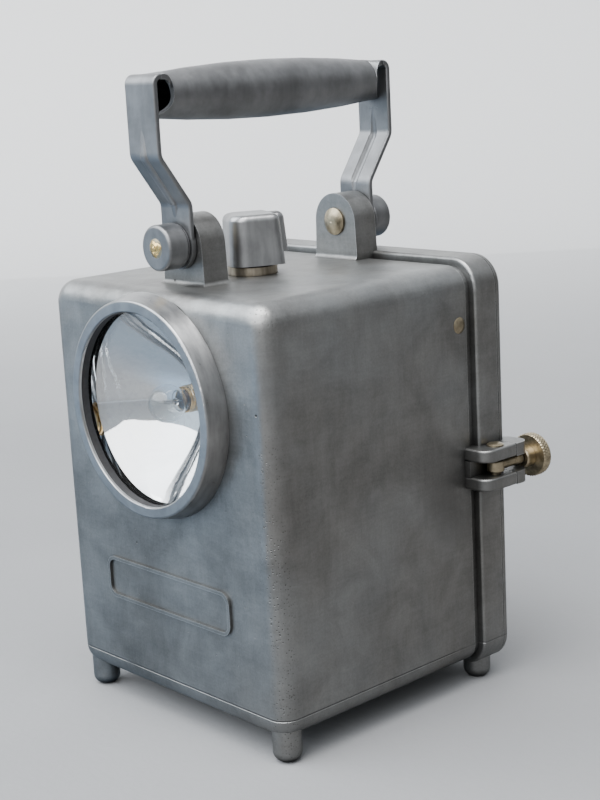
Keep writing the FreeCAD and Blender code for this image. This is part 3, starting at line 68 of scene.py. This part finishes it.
camera_data = bpy.data.cameras.new("camera")
camera_data.sensor_width = SENSOR_MM
camera_data.lens = SENSOR_MM * FOCAL / LONG_SIDE
camera_data.clip_start = 0.01
camera_data.clip_end = 50
camera = bpy.data.objects.new("camera", camera_data)
bpy.context.collection.objects.link(camera)
rows = Matrix((rolled_right, rolled_up, -forward)).transposed()
camera.matrix_world = Matrix.Translation(EYE) @ rows.to_4x4()
bpy.context.scene.camera = camera


class Nodes:
    """A short way to write the node tree of a material or of the world."""

    def __init__(self, owner, place="Object"):
        owner.use_nodes = True
        self.owner = owner
        self.tree = owner.node_tree
        self.tree.nodes.clear()
        self.place = self.add("ShaderNodeTexCoord").outputs[place]

    def add(self, kind, **values):
        node = self.tree.nodes.new(kind)
        for key, value in values.items():
            setattr(node, key, value)
        return node

    def link(self, source, target):
        self.tree.links.new(source, target)

    def set(self, socket, value):
        """Link a socket to another one, or give it a number or a colour."""
        if hasattr(value, "is_linked"):
            self.link(value, socket)
        else:
            socket.default_value = (*value, 1) if isinstance(value, tuple) else value

    def math(self, operation, first, second=0.0):
        node = self.add("ShaderNodeMath", operation=operation)
        self.set(node.inputs[0], first)
        self.set(node.inputs[1], second)
        return node.outputs[0]

    def plus(self, first, second):
        return self.math("ADD", first, second)

    def minus(self, first, second):
        return self.math("SUBTRACT", first, second)

    def times(self, first, second):
        return self.math("MULTIPLY", first, second)

    def most(self, first, second):
        return self.math("MAXIMUM", first, second)

    def noise(self, scale, detail=3.0, rough=0.5, stretch=None, distortion=0.0):
        node = self.add("ShaderNodeTexNoise")
        place = self.place
        if stretch:
            mapping = self.add("ShaderNodeMapping")
            self.link(place, mapping.inputs["Vector"])
            mapping.inputs["Scale"].default_value = stretch
            place = mapping.outputs[0]
        self.link(place, node.inputs["Vector"])
        self.set(node.inputs["Scale"], scale)
        self.set(node.inputs["Detail"], detail)
        self.set(node.inputs["Roughness"], rough)
        self.set(node.inputs["Distortion"], distortion)
        return node.outputs["Fac"]

    def ramp(self, source, *stops):
        """Greys over a value's range; each stop is (position, grey)."""
        node = self.add("ShaderNodeValToRGB")
        self.link(source, node.inputs["Fac"])
        for element, (position, shaded_grey) in zip(node.color_ramp.elements, stops):
            element.position = position
            element.color = (shaded_grey, shaded_grey, shaded_grey, 1)
        return node.outputs["Color"]

    def mix(self, share, first, second, blend="MIX"):
        node = self.add("ShaderNodeMix", data_type="RGBA", blend_type=blend)
        sockets = {socket.identifier: socket for socket in node.inputs}
        self.set(node.inputs["Factor"], share)
        self.set(sockets["A_Color"], first)
        self.set(sockets["B_Color"], second)
        return [socket for socket in node.outputs if socket.identifier == "Result_Color"][0]

    def axis(self, name):
        node = self.add("ShaderNodeSeparateXYZ")
        self.link(self.place, node.inputs[0])
        return node.outputs[name]

    def between(self, value, low, high):
        """0 below low, 1 above high, smooth in between; high may be below low."""
        node = self.add("ShaderNodeMapRange", interpolation_type="SMOOTHSTEP", clamp=True)
        self.link(value, node.inputs["Value"])
        self.set(node.inputs["From Min"], low)
        self.set(node.inputs["From Max"], high)
        return node.outputs["Result"]

    def line(self, axis, where, half_wide):
        """1 on a thin line across an axis, 0 away from it."""
        off = self.math("ABSOLUTE", self.minus(self.axis(axis), where))
        return self.between(off, half_wide, half_wide * 0.3)

    def near(self, point, reach):
        """1 at a point, fading to 0 at the given reach."""
        node = self.add("ShaderNodeVectorMath", operation="DISTANCE")
        self.link(self.place, node.inputs[0])
        node.inputs[1].default_value = point
        return self.between(node.outputs["Value"], reach, reach * 0.2)

    def toward(self, direction, low, high):
        """0 to 1 as the place lies more and more in the given direction."""
        node = self.add("ShaderNodeVectorMath", operation="DOT_PRODUCT")
        self.link(self.place, node.inputs[0])
        node.inputs[1].default_value = Vector(direction).normalized()
        return self.between(node.outputs["Value"], low, high)

    def pits(self, scale, size, share):
        """Scattered round pits, on a share of the cells: 1 inside, 0 outside."""
        node = self.add("ShaderNodeTexVoronoi", feature="F1")
        self.link(self.place, node.inputs["Vector"])
        self.set(node.inputs["Scale"], scale)
        near = self.between(node.outputs["Distance"], size, size * 0.4)
        chosen = self.math("GREATER_THAN", node.outputs["Color"], 1 - share)
        return self.times(near, chosen)

    def open_air(self, distance):
        """1 in the open, less where surfaces within the distance close in."""
        node = self.add("ShaderNodeAmbientOcclusion", samples=8)
        self.set(node.inputs["Distance"], distance)
        return node.outputs["AO"]

    def rubbed(self, radius, open_air):
        """1 on sharp outer edges, 0 on flats and in corners that the air doesn't reach."""
        soft = self.add("ShaderNodeBevel", samples=4)
        self.set(soft.inputs["Radius"], radius)
        plain = self.add("ShaderNodeNewGeometry")
        both = self.add("ShaderNodeVectorMath", operation="DOT_PRODUCT")
        self.link(soft.outputs["Normal"], both.inputs[0])
        self.link(plain.outputs["Normal"], both.inputs[1])
        edge = self.between(both.outputs["Value"], 0.97, 0.84)
        return self.times(edge, self.between(open_air, 0.6, 0.9))

    def bump(self, height, depth, under=None):
        node = self.add("ShaderNodeBump")
        self.link(height, node.inputs["Height"])
        self.set(node.inputs["Distance"], depth)
        self.set(node.inputs["Strength"], 1.0)
        if under is not None:
            self.link(under, node.inputs["Normal"])
        return node.outputs["Normal"]

    def surface(self, color, rough, normal, metallic=1.0):
        """Close the tree with one plain shader, and give back its material."""
        node = self.add("ShaderNodeBsdfPrincipled")
        self.link(color, node.inputs["Base Color"])
        self.link(rough, node.inputs["Roughness"])
        self.link(normal, node.inputs["Normal"])
        self.set(node.inputs["Metallic"], metallic)
        return self.close(node)

    def close(self, shader, kind="ShaderNodeOutputMaterial"):
        self.link(shader.outputs[0], self.add(kind).inputs["Surface"])
        return self.owner


def new_nodes(name):
    return Nodes(bpy.data.materials.new(name))


# The case, as the frame gives it, in metres.
LEFT_SIDE, RIGHT_SIDE = -0.0621, 0.0579
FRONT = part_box("bezel_ring")[1].y
ROOF = 0.1606
# The casting's parting line, low on its sides, and the stain behind the clasp.
PARTING_HEIGHT, PARTING_HALF = 0.0168, 0.0004
STAIN_PLACE, STAIN_REACH = (RIGHT_SIDE, 0.030, 0.078), 0.026


def case_edges(n, deep, thin):
    """1 on the case's rounded edges, 0 on its flats; then the same for the upright edges alone."""
    middle = (LEFT_SIDE + RIGHT_SIDE) / 2
    half = (RIGHT_SIDE - LEFT_SIDE) / 2
    aside = n.math("ABSOLUTE", n.minus(n.axis("X"), middle))
    side = n.between(aside, half - deep, half - thin)
    front = n.between(n.axis("Y"), FRONT + deep, FRONT + thin)
    top = n.between(n.axis("Z"), ROOF - deep, ROOF - thin)
    upright = n.times(side, front)
    rim = n.times(n.most(side, front), top)
    return n.most(upright, rim), upright


def cast_metal():
    """Aged cast metal: clouds, strokes and grain, pits, a parting line, painted shade in its corners and rubbed
    edges.
    """
    n = new_nodes("cast_aluminium")
    clouds = n.noise(16, 4, 0.6)
    patches = n.noise(50, 5, 0.62, distortion=0.5)
    grain = n.noise(1300, 2, 0.6)
    strokes = n.noise(1, 3, 0.6, stretch=(600, 600, 45))
    cross = n.noise(1, 3, 0.6, stretch=(50, 50, 900))

    # Each layer has its share, and two stops of (noise, grey).
    tone = n.ramp(clouds, (0.32, 0.15), (0.68, 0.40))
    for share, layer, low, high in (
        (0.45, patches, (0.34, 0.14), (0.66, 0.42)),
        (0.13, strokes, (0.3, 0.14), (0.7, 0.38)),
        (0.09, cross, (0.3, 0.14), (0.7, 0.38)),
        (0.12, grain, (0.3, 0.12), (0.7, 0.42)),
    ):
        tone = n.mix(share, tone, n.ramp(layer, low, high))

    edges, upright = case_edges(n, deep=0.010, thin=0.003)
    worn = n.times(edges, n.between(n.noise(38, 4, 0.6), 0.36, 0.64))
    open_air = n.open_air(0.006)
    rubbed = n.rubbed(0.0006, open_air)
    stain = n.times(n.near(STAIN_PLACE, STAIN_REACH), n.between(patches, 0.30, 0.55))

    # A few large pits anywhere, many small ones in patches down the upright edges, and fine ones all over.
    few = n.pits(420, size=0.26, share=0.045)
    pitted = n.times(upright, n.between(n.noise(28, 2, 0.5), 0.40, 0.60))
    many = n.times(n.most(n.pits(1250, size=0.40, share=0.42), n.pits(640, size=0.26, share=0.22)), pitted)
    fine = n.pits(1100, size=0.30, share=0.05)
    parting = n.times(
        n.line("Z", PARTING_HEIGHT, PARTING_HALF), n.between(n.noise(25, 2, 0.5), 0.30, 0.50))

    for mask, share, color in (
        (worn, 0.35, (0.40, 0.405, 0.415)),
        (rubbed, 0.75, (0.62, 0.63, 0.64)),
        (stain, 0.55, (0.10, 0.10, 0.10)),
        (few, 0.8, (0.035, 0.033, 0.03)),
        (n.most(fine, many), 0.75, (0.05, 0.047, 0.043)),
        (parting, 0.6, (0.08, 0.08, 0.08)),
    ):
        tone = n.mix(n.times(mask, share), tone, color)
    # Painted shade: the colour is multiplied darker where nearby surfaces close in, in corners and under parts.
    tone = n.mix(1.0, tone, n.ramp(open_air, (0.25, 0.32), (0.85, 1.0)), "MULTIPLY")
    tint = n.mix(n.between(clouds, 0.35, 0.7), (1.01, 1.0, 0.97), (0.97, 1.0, 1.01))
    color = n.mix(1.0, tone, tint, "MULTIPLY")

    rough = n.plus(n.times(clouds, 0.22), 0.28)
    rough = n.plus(rough, n.times(strokes, 0.08))
    rough = n.minus(rough, n.times(worn, 0.08))

    height = n.plus(n.times(grain, 0.35), n.times(strokes, 0.4))
    height = n.plus(height, n.times(cross, 0.35))
    sunk = n.most(n.most(n.times(few, 0.5), parting), n.most(fine, n.times(many, 0.3)))
    normal = n.bump(height, 0.00005)
    normal = n.bump(n.noise(110, 3, 0.5), 0.00042, normal)
    normal = n.bump(n.noise(30, 2, 0.5), 0.0011, normal)
    normal = n.bump(n.times(sunk, -1.0), 0.00028, normal)
    return n.surface(color, rough, normal)


def plain_metal(name, dark, light, rough, clouds=60, stretch=(300, 300, 60), corner=0.004, wear=0.5, rubbed=0.0):
    """Worked metal between two tones: cloudy, with strokes, painted shade in corners and, where asked, rubbed
    edges.
    """
    n = new_nodes(name)
    cloudy = n.noise(clouds, 4, 0.6)
    strokes = n.noise(1, 3, 0.6, stretch=stretch)
    fine = n.noise(2200, 2, 0.5)
    color = n.mix(n.between(cloudy, 0.3, 0.7), dark, light)
    color = n.mix(wear, color, n.mix(n.between(strokes, 0.3, 0.7), dark, light))
    open_air = n.open_air(corner)
    if rubbed:
        bright = tuple(min(1.0, 1.9 * part) for part in light)
        color = n.mix(n.times(n.rubbed(0.0004, open_air), rubbed), color, bright)
    # Painted shade: the colour is multiplied darker where nearby surfaces close in, within the corner reach.
    color = n.mix(1.0, color, n.ramp(open_air, (0.2, 0.25), (0.8, 1.0)), "MULTIPLY")
    roughness = n.plus(n.times(strokes, 0.2), rough - 0.1)
    height = n.plus(n.times(strokes, 0.6), n.times(fine, 0.3))
    return n.surface(color, roughness, n.bump(height, 0.00004))


def satin(name, color, rough, grain=900):
    """A soft matte surface with a fine grain."""
    n = new_nodes(name)
    darker = tuple(part * 0.75 for part in color)
    lighter = tuple(min(1, part * 1.3) for part in color)
    tone = n.mix(n.between(n.noise(grain, 3, 0.6), 0.3, 0.7), darker, lighter)
    normal = n.bump(n.noise(grain * 2, 2, 0.5), 0.00003)
    roughness = n.plus(n.times(n.noise(grain / 4, 3, 0.5), 0.15), rough - 0.07)
    return n.surface(tone, roughness, normal, metallic=0.0)


def clear_glass(name, tint=(0.97, 0.985, 0.985)):
    """Clear glass with a faint haze, which lets light and shadow rays through."""
    n = new_nodes(name)
    glass = n.add("ShaderNodeBsdfPrincipled")
    haze = n.noise(90, 3, 0.5)
    n.set(glass.inputs["Base Color"], n.mix(haze, tint, (1.0, 1.0, 1.0)))
    n.set(glass.inputs["Roughness"], n.times(haze, 0.02))
    n.set(glass.inputs["Transmission Weight"], 1.0)
    n.set(glass.inputs["IOR"], 1.45)
    clear = n.add("ShaderNodeBsdfTransparent")
    ray = n.add("ShaderNodeLightPath")
    both = n.add("ShaderNodeMixShader")
    n.link(n.most(ray.outputs["Is Shadow Ray"], ray.outputs["Is Diffuse Ray"]), both.inputs[0])
    n.link(glass.outputs[0], both.inputs[1])
    n.link(clear.outputs[0], both.inputs[2])
    return n.close(both)


def mirror():
    """A silvered dish, slightly dusty and not quite even."""
    n = new_nodes("silvered")
    dust = n.noise(700, 4, 0.6)
    smear = n.noise(45, 3, 0.6)
    color = n.mix(n.between(dust, 0.45, 0.75), (0.90, 0.91, 0.92), (0.80, 0.81, 0.83))
    rough = n.plus(n.times(smear, 0.06), 0.005)
    return n.surface(color, rough, n.bump(n.noise(38, 2, 0.4), 0.00035))


finishes = {
    "cast": cast_metal(),
    "turned_aluminium": plain_metal(
        "turned_aluminium", dark=(0.28, 0.282, 0.286), light=(0.45, 0.455, 0.46), rough=0.31,
        clouds=50, stretch=(120, 500, 120), rubbed=0.8),
    "polished_aluminium": plain_metal(
        "polished_aluminium", dark=(0.28, 0.28, 0.285), light=(0.46, 0.465, 0.47), rough=0.36,
        clouds=70, stretch=(500, 500, 60), wear=0.35),
    "strap_steel": plain_metal(
        "strap_steel", dark=(0.18, 0.182, 0.187), light=(0.30, 0.305, 0.313), rough=0.44,
        clouds=70, stretch=(300, 300, 50), wear=0.25, rubbed=0.8),
    "spring_steel": plain_metal(
        "spring_steel", dark=(0.25, 0.25, 0.26), light=(0.42, 0.42, 0.43), rough=0.3),
    "brass": plain_metal(
        "brass", dark=(0.25, 0.212, 0.145), light=(0.52, 0.445, 0.315), rough=0.33,
        clouds=160, stretch=(400, 400, 400), corner=0.0018),
    "bronze": plain_metal(
        "bronze", dark=(0.25, 0.215, 0.165), light=(0.48, 0.42, 0.335), rough=0.36,
        clouds=140, stretch=(900, 900, 60), corner=0.0015),
    "glass": clear_glass("lens_clear"),
    "mirror": mirror(),
    "rubber": satin("rubber_black", (0.02, 0.02, 0.022), rough=0.6),
    "insulator": satin("laminate", (0.16, 0.08, 0.045), rough=0.42, grain=500),
    "battery_plastic": satin("battery_case", (0.07, 0.085, 0.11), rough=0.38, grain=700),
}

# Finishes of single pieces, in place of their slot's own.
nut_brass = plain_metal(
    "nut_brass", dark=(0.28, 0.235, 0.16), light=(0.62, 0.53, 0.37), rough=0.38,
    clouds=200, stretch=(400, 400, 400), corner=0.0010)
bright_brass = plain_metal(
    "bright_brass", dark=(0.55, 0.37, 0.14), light=(0.95, 0.68, 0.29), rough=0.26,
    clouds=900, stretch=(900, 900, 900), corner=0.0005)
cap_brass = plain_metal(
    "cap_brass", dark=(0.30, 0.19, 0.075), light=(0.66, 0.44, 0.19), rough=0.30,
    clouds=400, stretch=(400, 400, 400), corner=0.0008)
bulb_clear = clear_glass("bulb_clear", (0.90, 0.91, 0.90))
own_finish = {"bulb_glass": bulb_clear, "bulb_cap": cap_brass, "lamp_holder": cap_brass}

slots = {entry["node"]: entry["material_slot"] for entry in frame["record"]["subparts"]}
for node, thing in frame["nodes"].items():
    thing.data.materials.clear()
    thing.data.materials.append(own_finish.get(node, finishes[slots[node]]))


# Pieces in mesh code.
SHARP = math.radians(40)


def new_piece(name, tool, body, slot, finish=None):
    """Turn a mesh tool into a piece that rides a body; its edges over SHARP stay sharp."""
    mesh = bpy.data.meshes.new(name)
    bmesh.ops.recalc_face_normals(tool, faces=tool.faces)
    for edge in tool.edges:
        edge.smooth = edge.calc_face_angle(0) < SHARP
    tool.to_mesh(mesh)
    tool.free()
    for face in mesh.polygons:
        face.use_smooth = True
    mesh.materials.append(finish or finishes[slot])
    piece = bpy.data.objects.new(name, mesh)
    bpy.context.collection.objects.link(piece)
    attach(piece, body)
    return piece


def turn_point(angle, radius):
    """A point on a circle, across and up."""
    return radius * math.cos(angle), radius * math.sin(angle)


def skin(tool, this, after):
    """Faces between two rings of as many points."""
    for step in range(len(this)):
        turn = (step + 1) % len(this)
        tool.faces.new((this[step], this[turn], after[turn], after[step]))


def lathe(name, centre, profile, body, slot, around=48, radius_at=None, finish=None):
    """Turn a closed profile of (along Y, radius) about a line through the centre, parallel to Y."""
    tool = bmesh.new()
    rings = []
    for row, (along, radius) in enumerate(profile):
        ring = []
        for step in range(around):
            reach = radius_at(row, step, radius) if radius_at else radius
            across, rise = turn_point(2 * math.pi * step / around, reach)
            ring.append(tool.verts.new((centre[0] + across, along, centre[1] + rise)))
        rings.append(ring)
    for this, after in zip(rings, rings[1:] + rings[:1]):
        skin(tool, this, after)
    return new_piece(name, tool, body, slot, finish)


def tube(name, points, radius, body, slot, around=8):
    """A round wire along a list of points."""
    tool = bmesh.new()
    points = [Vector(point) for point in points]
    rings = []
    normal = None
    for index, point in enumerate(points):
        before = points[max(index - 1, 0)]
        after = points[min(index + 1, len(points) - 1)]
        along = (after - before).normalized()
        if normal is None:
            normal = along.orthogonal().normalized()
        normal = (normal - along * normal.dot(along)).normalized()
        other = along.cross(normal)
        ring = []
        for step in range(around):
            angle = 2 * math.pi * step / around
            ring.append(tool.verts.new(point + radius * (math.cos(angle) * normal + math.sin(angle) * other)))
        rings.append(ring)
    for this, after in zip(rings, rings[1:]):
        skin(tool, this, after)
    tool.faces.new(rings[0][::-1])
    tool.faces.new(rings[-1])
    return new_piece(name, tool, body, slot)


def thread(name, centre, start, end, pitch, radius, wire, body, around):
    """A wire wound round a line through the centre, parallel to Y, from start to end."""
    steps = int((end - start) / pitch * around)
    points = []
    for index in range(steps + 1):
        across, rise = turn_point(2 * math.pi * index / around, radius)
        points.append((centre.x + across, start + (end - start) * index / steps, centre.z + rise))
    tube(name, points, wire, body, "brass", 6)


def middle(node):
    low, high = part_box(node)
    return (low + high) / 2


def thumb_nut():
    """The nut again, with a fine crossed knurl in place of the plain teeth."""
    teeth, fine, rows = 44, 6, 14
    bore, boss, boss_long = 0.00225, 0.0040, 0.0045
    bevel, knurl_deep, lead = 0.0005, 0.00030, 1.4
    low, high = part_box("thumb_nut")
    axis = middle("thumb_nut")
    rim = (high.x - low.x) / 2
    face, back, step_at = low.y, high.y, low.y + boss_long
    knurl_from, knurl_to = step_at + bevel, back - bevel
    profile = [(face, bore), (face, boss - 0.0004), (face + 0.0004, boss), (step_at, boss),
               (step_at, rim - bevel)]
    first = len(profile)
    for row in range(rows + 1):
        profile.append((knurl_from + (knurl_to - knurl_from) * row / rows, rim))
    last = len(profile)
    profile += [(back, rim - bevel), (back, boss + 0.0012), (back - 0.0004, boss + 0.0006),
                (back - 0.0004, bore)]

    def knurl(row, step, radius):
        if not first <= row < last:
            return radius
        tooth, shift = step / fine, lead * (row - first) / rows
        crossed = abs(math.sin(math.pi * (tooth + shift))) * abs(math.sin(math.pi * (tooth - shift)))
        return radius - knurl_deep * (1 - crossed)

    piece = lathe("knurled_nut", (axis.x, axis.z), profile, "nut", "brass", fine * teeth, knurl, nut_brass)
    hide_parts("thumb_nut")


def bolt_thread():
    """The bolt's thread, up to the nut's face."""
    plain_long, nut_gap = 0.0125, 0.0002
    axis = Vector((middle("clasp_pin").x, 0, middle("swing_bolt").z))
    thread("bolt_thread", axis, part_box("swing_bolt")[0].y + plain_long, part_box("thumb_nut")[0].y - nut_gap,
           pitch=0.0008, radius=0.00195, wire=0.00018, body="bolt", around=24)


def screw_end(name, out):
    """A hammered screw end: an uneven low dome over the nut's face."""
    around, rows, radius, tall, sunk = 28, 6, 0.0029, 0.0008, 0.0005
    low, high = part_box("pivot_screws")
    across, height = middle("pivot_nuts").x, middle("pivot_screws").z
    end = low.y if out < 0 else high.y
    tool = bmesh.new()
    rings = []
    for row in range(rows):
        share = 1 - row / rows
        ring = []
        for step in range(around):
            angle = 2 * math.pi * step / around
            uneven = 1 + 0.09 * math.sin(3 * angle + 0.7) + 0.05 * math.sin(7 * angle + 2 * row)
            dented = 1 + 0.30 * math.sin(2 * angle + 1.9 * row)
            dome = tall * math.cos(math.pi / 2 * share) ** 0.6 * dented
            aside, rise = turn_point(angle, radius * share * uneven)
            ring.append(tool.verts.new((across + aside, end - out * (sunk - dome), height + rise)))
        rings.append(ring)
    for this, after in zip(rings, rings[1:]):
        skin(tool, this, after)
    tool.faces.new(rings[-1])
    tool.faces.new(rings[0][::-1])
    new_piece(name, tool, "casting", "brass", bright_brass)


def bulb_inside():
    """The bulb's filament on its two wires, held by a glass bead, and the thread of its cap."""
    globe_radius, neck_long, filament_up = 0.0069, 0.004, 0.0004
    spread, coil, turns, around, sag = 0.0022, 0.00045, 9, 12, 0.0007
    low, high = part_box("bulb_glass")
    axis = middle("bulb_glass")
    globe = Vector((axis.x, low.y + globe_radius, axis.z))
    filament_height = globe.z + filament_up
    for name, sign in (("wire_left", -1), ("wire_right", 1)):
        tube(name, [
            (globe.x + sign * 0.0006, high.y - neck_long, globe.z),
            (globe.x + sign * 0.0008, globe.y + 0.004, globe.z),
            (globe.x + sign * spread, globe.y, filament_height),
        ], 0.00016, "casting", "spring_steel", 8)
    points = []
    for index in range(turns * around + 1):
        share = index / (turns * around)
        along, rise = turn_point(2 * math.pi * turns * share, coil)
        bow = sag * math.sin(math.pi * share)
        points.append((globe.x - spread + 2 * spread * share, globe.y - bow + along, filament_height + rise))
    tube("filament", points, 0.00007, "casting", "spring_steel", 6)
    bead = [(globe.y + along, radius) for along, radius in (
        (0.0030, 0.0003), (0.0033, 0.0011), (0.0040, 0.0014), (0.0047, 0.0011), (0.0050, 0.0003))]
    lathe("bead", (globe.x, globe.z), bead, "casting", "glass", 24)
    cap_low, cap_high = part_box("bulb_cap")
    thread("cap_thread", axis, cap_low.y + 0.0012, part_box("lamp_holder")[0].y - 0.0003,
           pitch=0.0011, radius=(cap_high.x - cap_low.x) / 2, wire=0.00028, body="casting", around=32)


thumb_nut()
bolt_thread()
screw_end("front_screw_end", -1)
screw_end("rear_screw_end", 1)
bulb_inside()


def backdrop():
    """A pale floor that curves up into a wall behind the object, with painted shade that darkens it near the
    object.
    """
    near_end, half_wide, wall_top = -2.5, 3.0, 3.0
    curve_from, curve_radius, curve_steps = 1.2, 0.8, 12
    path = [(near_end, 0.0), (curve_from, 0.0)]
    for step in range(1, curve_steps + 1):
        angle = math.pi / 2 * step / curve_steps
        path.append((curve_from + curve_radius * math.sin(angle), curve_radius - curve_radius * math.cos(angle)))
    path.append((curve_from + curve_radius, wall_top))
    away = Vector((forward.x, forward.y, 0)).normalized()
    side = Vector((away.y, -away.x, 0))
    points = []
    for distance, height in path:
        for sign in (-1, 1):
            points.append(away * distance + side * sign * half_wide + Vector((0, 0, height)))
    faces = [(2 * i, 2 * i + 1, 2 * i + 3, 2 * i + 2) for i in range(len(path) - 1)]
    mesh = bpy.data.meshes.new("backdrop")
    mesh.from_pydata(points, [], faces)
    for face in mesh.polygons:
        face.use_smooth = True
    piece = bpy.data.objects.new("backdrop", mesh)
    bpy.context.collection.objects.link(piece)
    n = new_nodes("pale_floor")
    distance = n.plus(n.times(n.axis("X"), away.x), n.times(n.axis("Y"), away.y))
    # Painted shade: the floor's colour runs from dark near the object to pale towards the wall.
    shaded_grey = n.mix(n.between(distance, 0.25, 1.9), (0.27, 0.275, 0.285), (0.84, 0.845, 0.85))
    tone = n.mix(n.times(n.noise(6, 3, 0.5), 0.12), shaded_grey, (0.72, 0.73, 0.74))
    rough = n.plus(n.times(n.noise(40), 0.1), 0.6)
    mesh.materials.append(n.surface(tone, rough, n.bump(n.noise(300), 0.0002), metallic=0.0))
    return piece


def floor_card():
    """A round card over the floor that only reflections see, dark as the photographed ground, with painted shade
    on its right side and close to the object.
    """
    radius, lift = 1.7, 0.0006
    mesh = bpy.data.meshes.new("floor_card")
    tool = bmesh.new()
    bmesh.ops.create_circle(
        tool, cap_ends=True, segments=96, radius=radius, matrix=Matrix.Translation((0, 0, lift)))
    tool.to_mesh(mesh)
    tool.free()
    piece = bpy.data.objects.new("floor_card", mesh)
    bpy.context.collection.objects.link(piece)
    piece.visible_camera = False
    piece.visible_diffuse = False
    piece.visible_shadow = False
    n = new_nodes("grey_card")
    mottle = n.noise(30, 3, 0.5)
    left_tone = n.mix(mottle, (0.125, 0.175, 0.235), (0.185, 0.25, 0.33))
    # Painted shade: the right side of the card is darker.
    shaded_right_tone = n.mix(mottle, (0.124, 0.120, 0.116), (0.168, 0.163, 0.159))
    shaded_close_tone = n.mix(mottle, (0.06, 0.08, 0.105), (0.09, 0.118, 0.15))
    # Painted shade: on the left, the card darkens close to the object.
    left_tone = n.mix(n.between(n.axis("Y"), -0.30, -0.18), left_tone, shaded_close_tone)
    tone = n.mix(n.between(n.axis("X"), -0.05, 0.10), left_tone, shaded_right_tone)
    rough = n.plus(n.times(n.noise(40), 0.1), 0.7)
    mesh.materials.append(n.surface(tone, rough, n.bump(n.noise(300), 0.0002), metallic=0.0))
    return piece


backdrop()
floor_card()


def light(name, where, aim, size, bright, color):
    """A flat lamp of a given brightness, which is its power over its area and pi."""
    data = bpy.data.lights.new(name, "AREA")
    data.shape = "RECTANGLE"
    data.size, data.size_y = size
    data.energy = bright * math.pi * size[0] * size[1]
    data.color = color
    lamp = bpy.data.objects.new(name, data)
    bpy.context.collection.objects.link(lamp)
    lamp.location = where
    lamp.rotation_mode = "QUATERNION"
    lamp.rotation_quaternion = (Vector(aim) - Vector(where)).to_track_quat("-Z", "Y")


light("sky", where=(-0.25, -1.10, 1.30), aim=(0, -0.05, 0.1), size=(3.4, 1.65), bright=4.4,
      color=(0.98, 0.99, 1.0))
light("wall", where=(0.2, -0.3, 2.3), aim=(-1.5, 1.35, 0.5), size=(1.4, 1.4), bright=11.0,
      color=(1.0, 0.99, 0.98))


def studio():
    """Soft light all round: brightest from the front left, darkest from the right."""
    n = Nodes(bpy.data.worlds.new("studio"), "Generated")
    color = n.mix(n.toward((0, 0, 1), -0.1, 0.9), (0.42, 0.43, 0.44), (0.80, 0.83, 0.86))
    color = n.mix(n.toward((-0.80, -0.50, 0.35), 0.40, 0.90), color, (0.98, 1.16, 1.32))
    color = n.mix(n.toward((0.85, 0.5, -0.3), 0.5, 0.95), color, (0.20, 0.20, 0.20))
    sky = n.add("ShaderNodeBackground")
    n.link(color, sky.inputs["Color"])
    n.set(sky.inputs["Strength"], 1.0)
    bpy.context.scene.world = n.close(sky, "ShaderNodeOutputWorld")


studio()
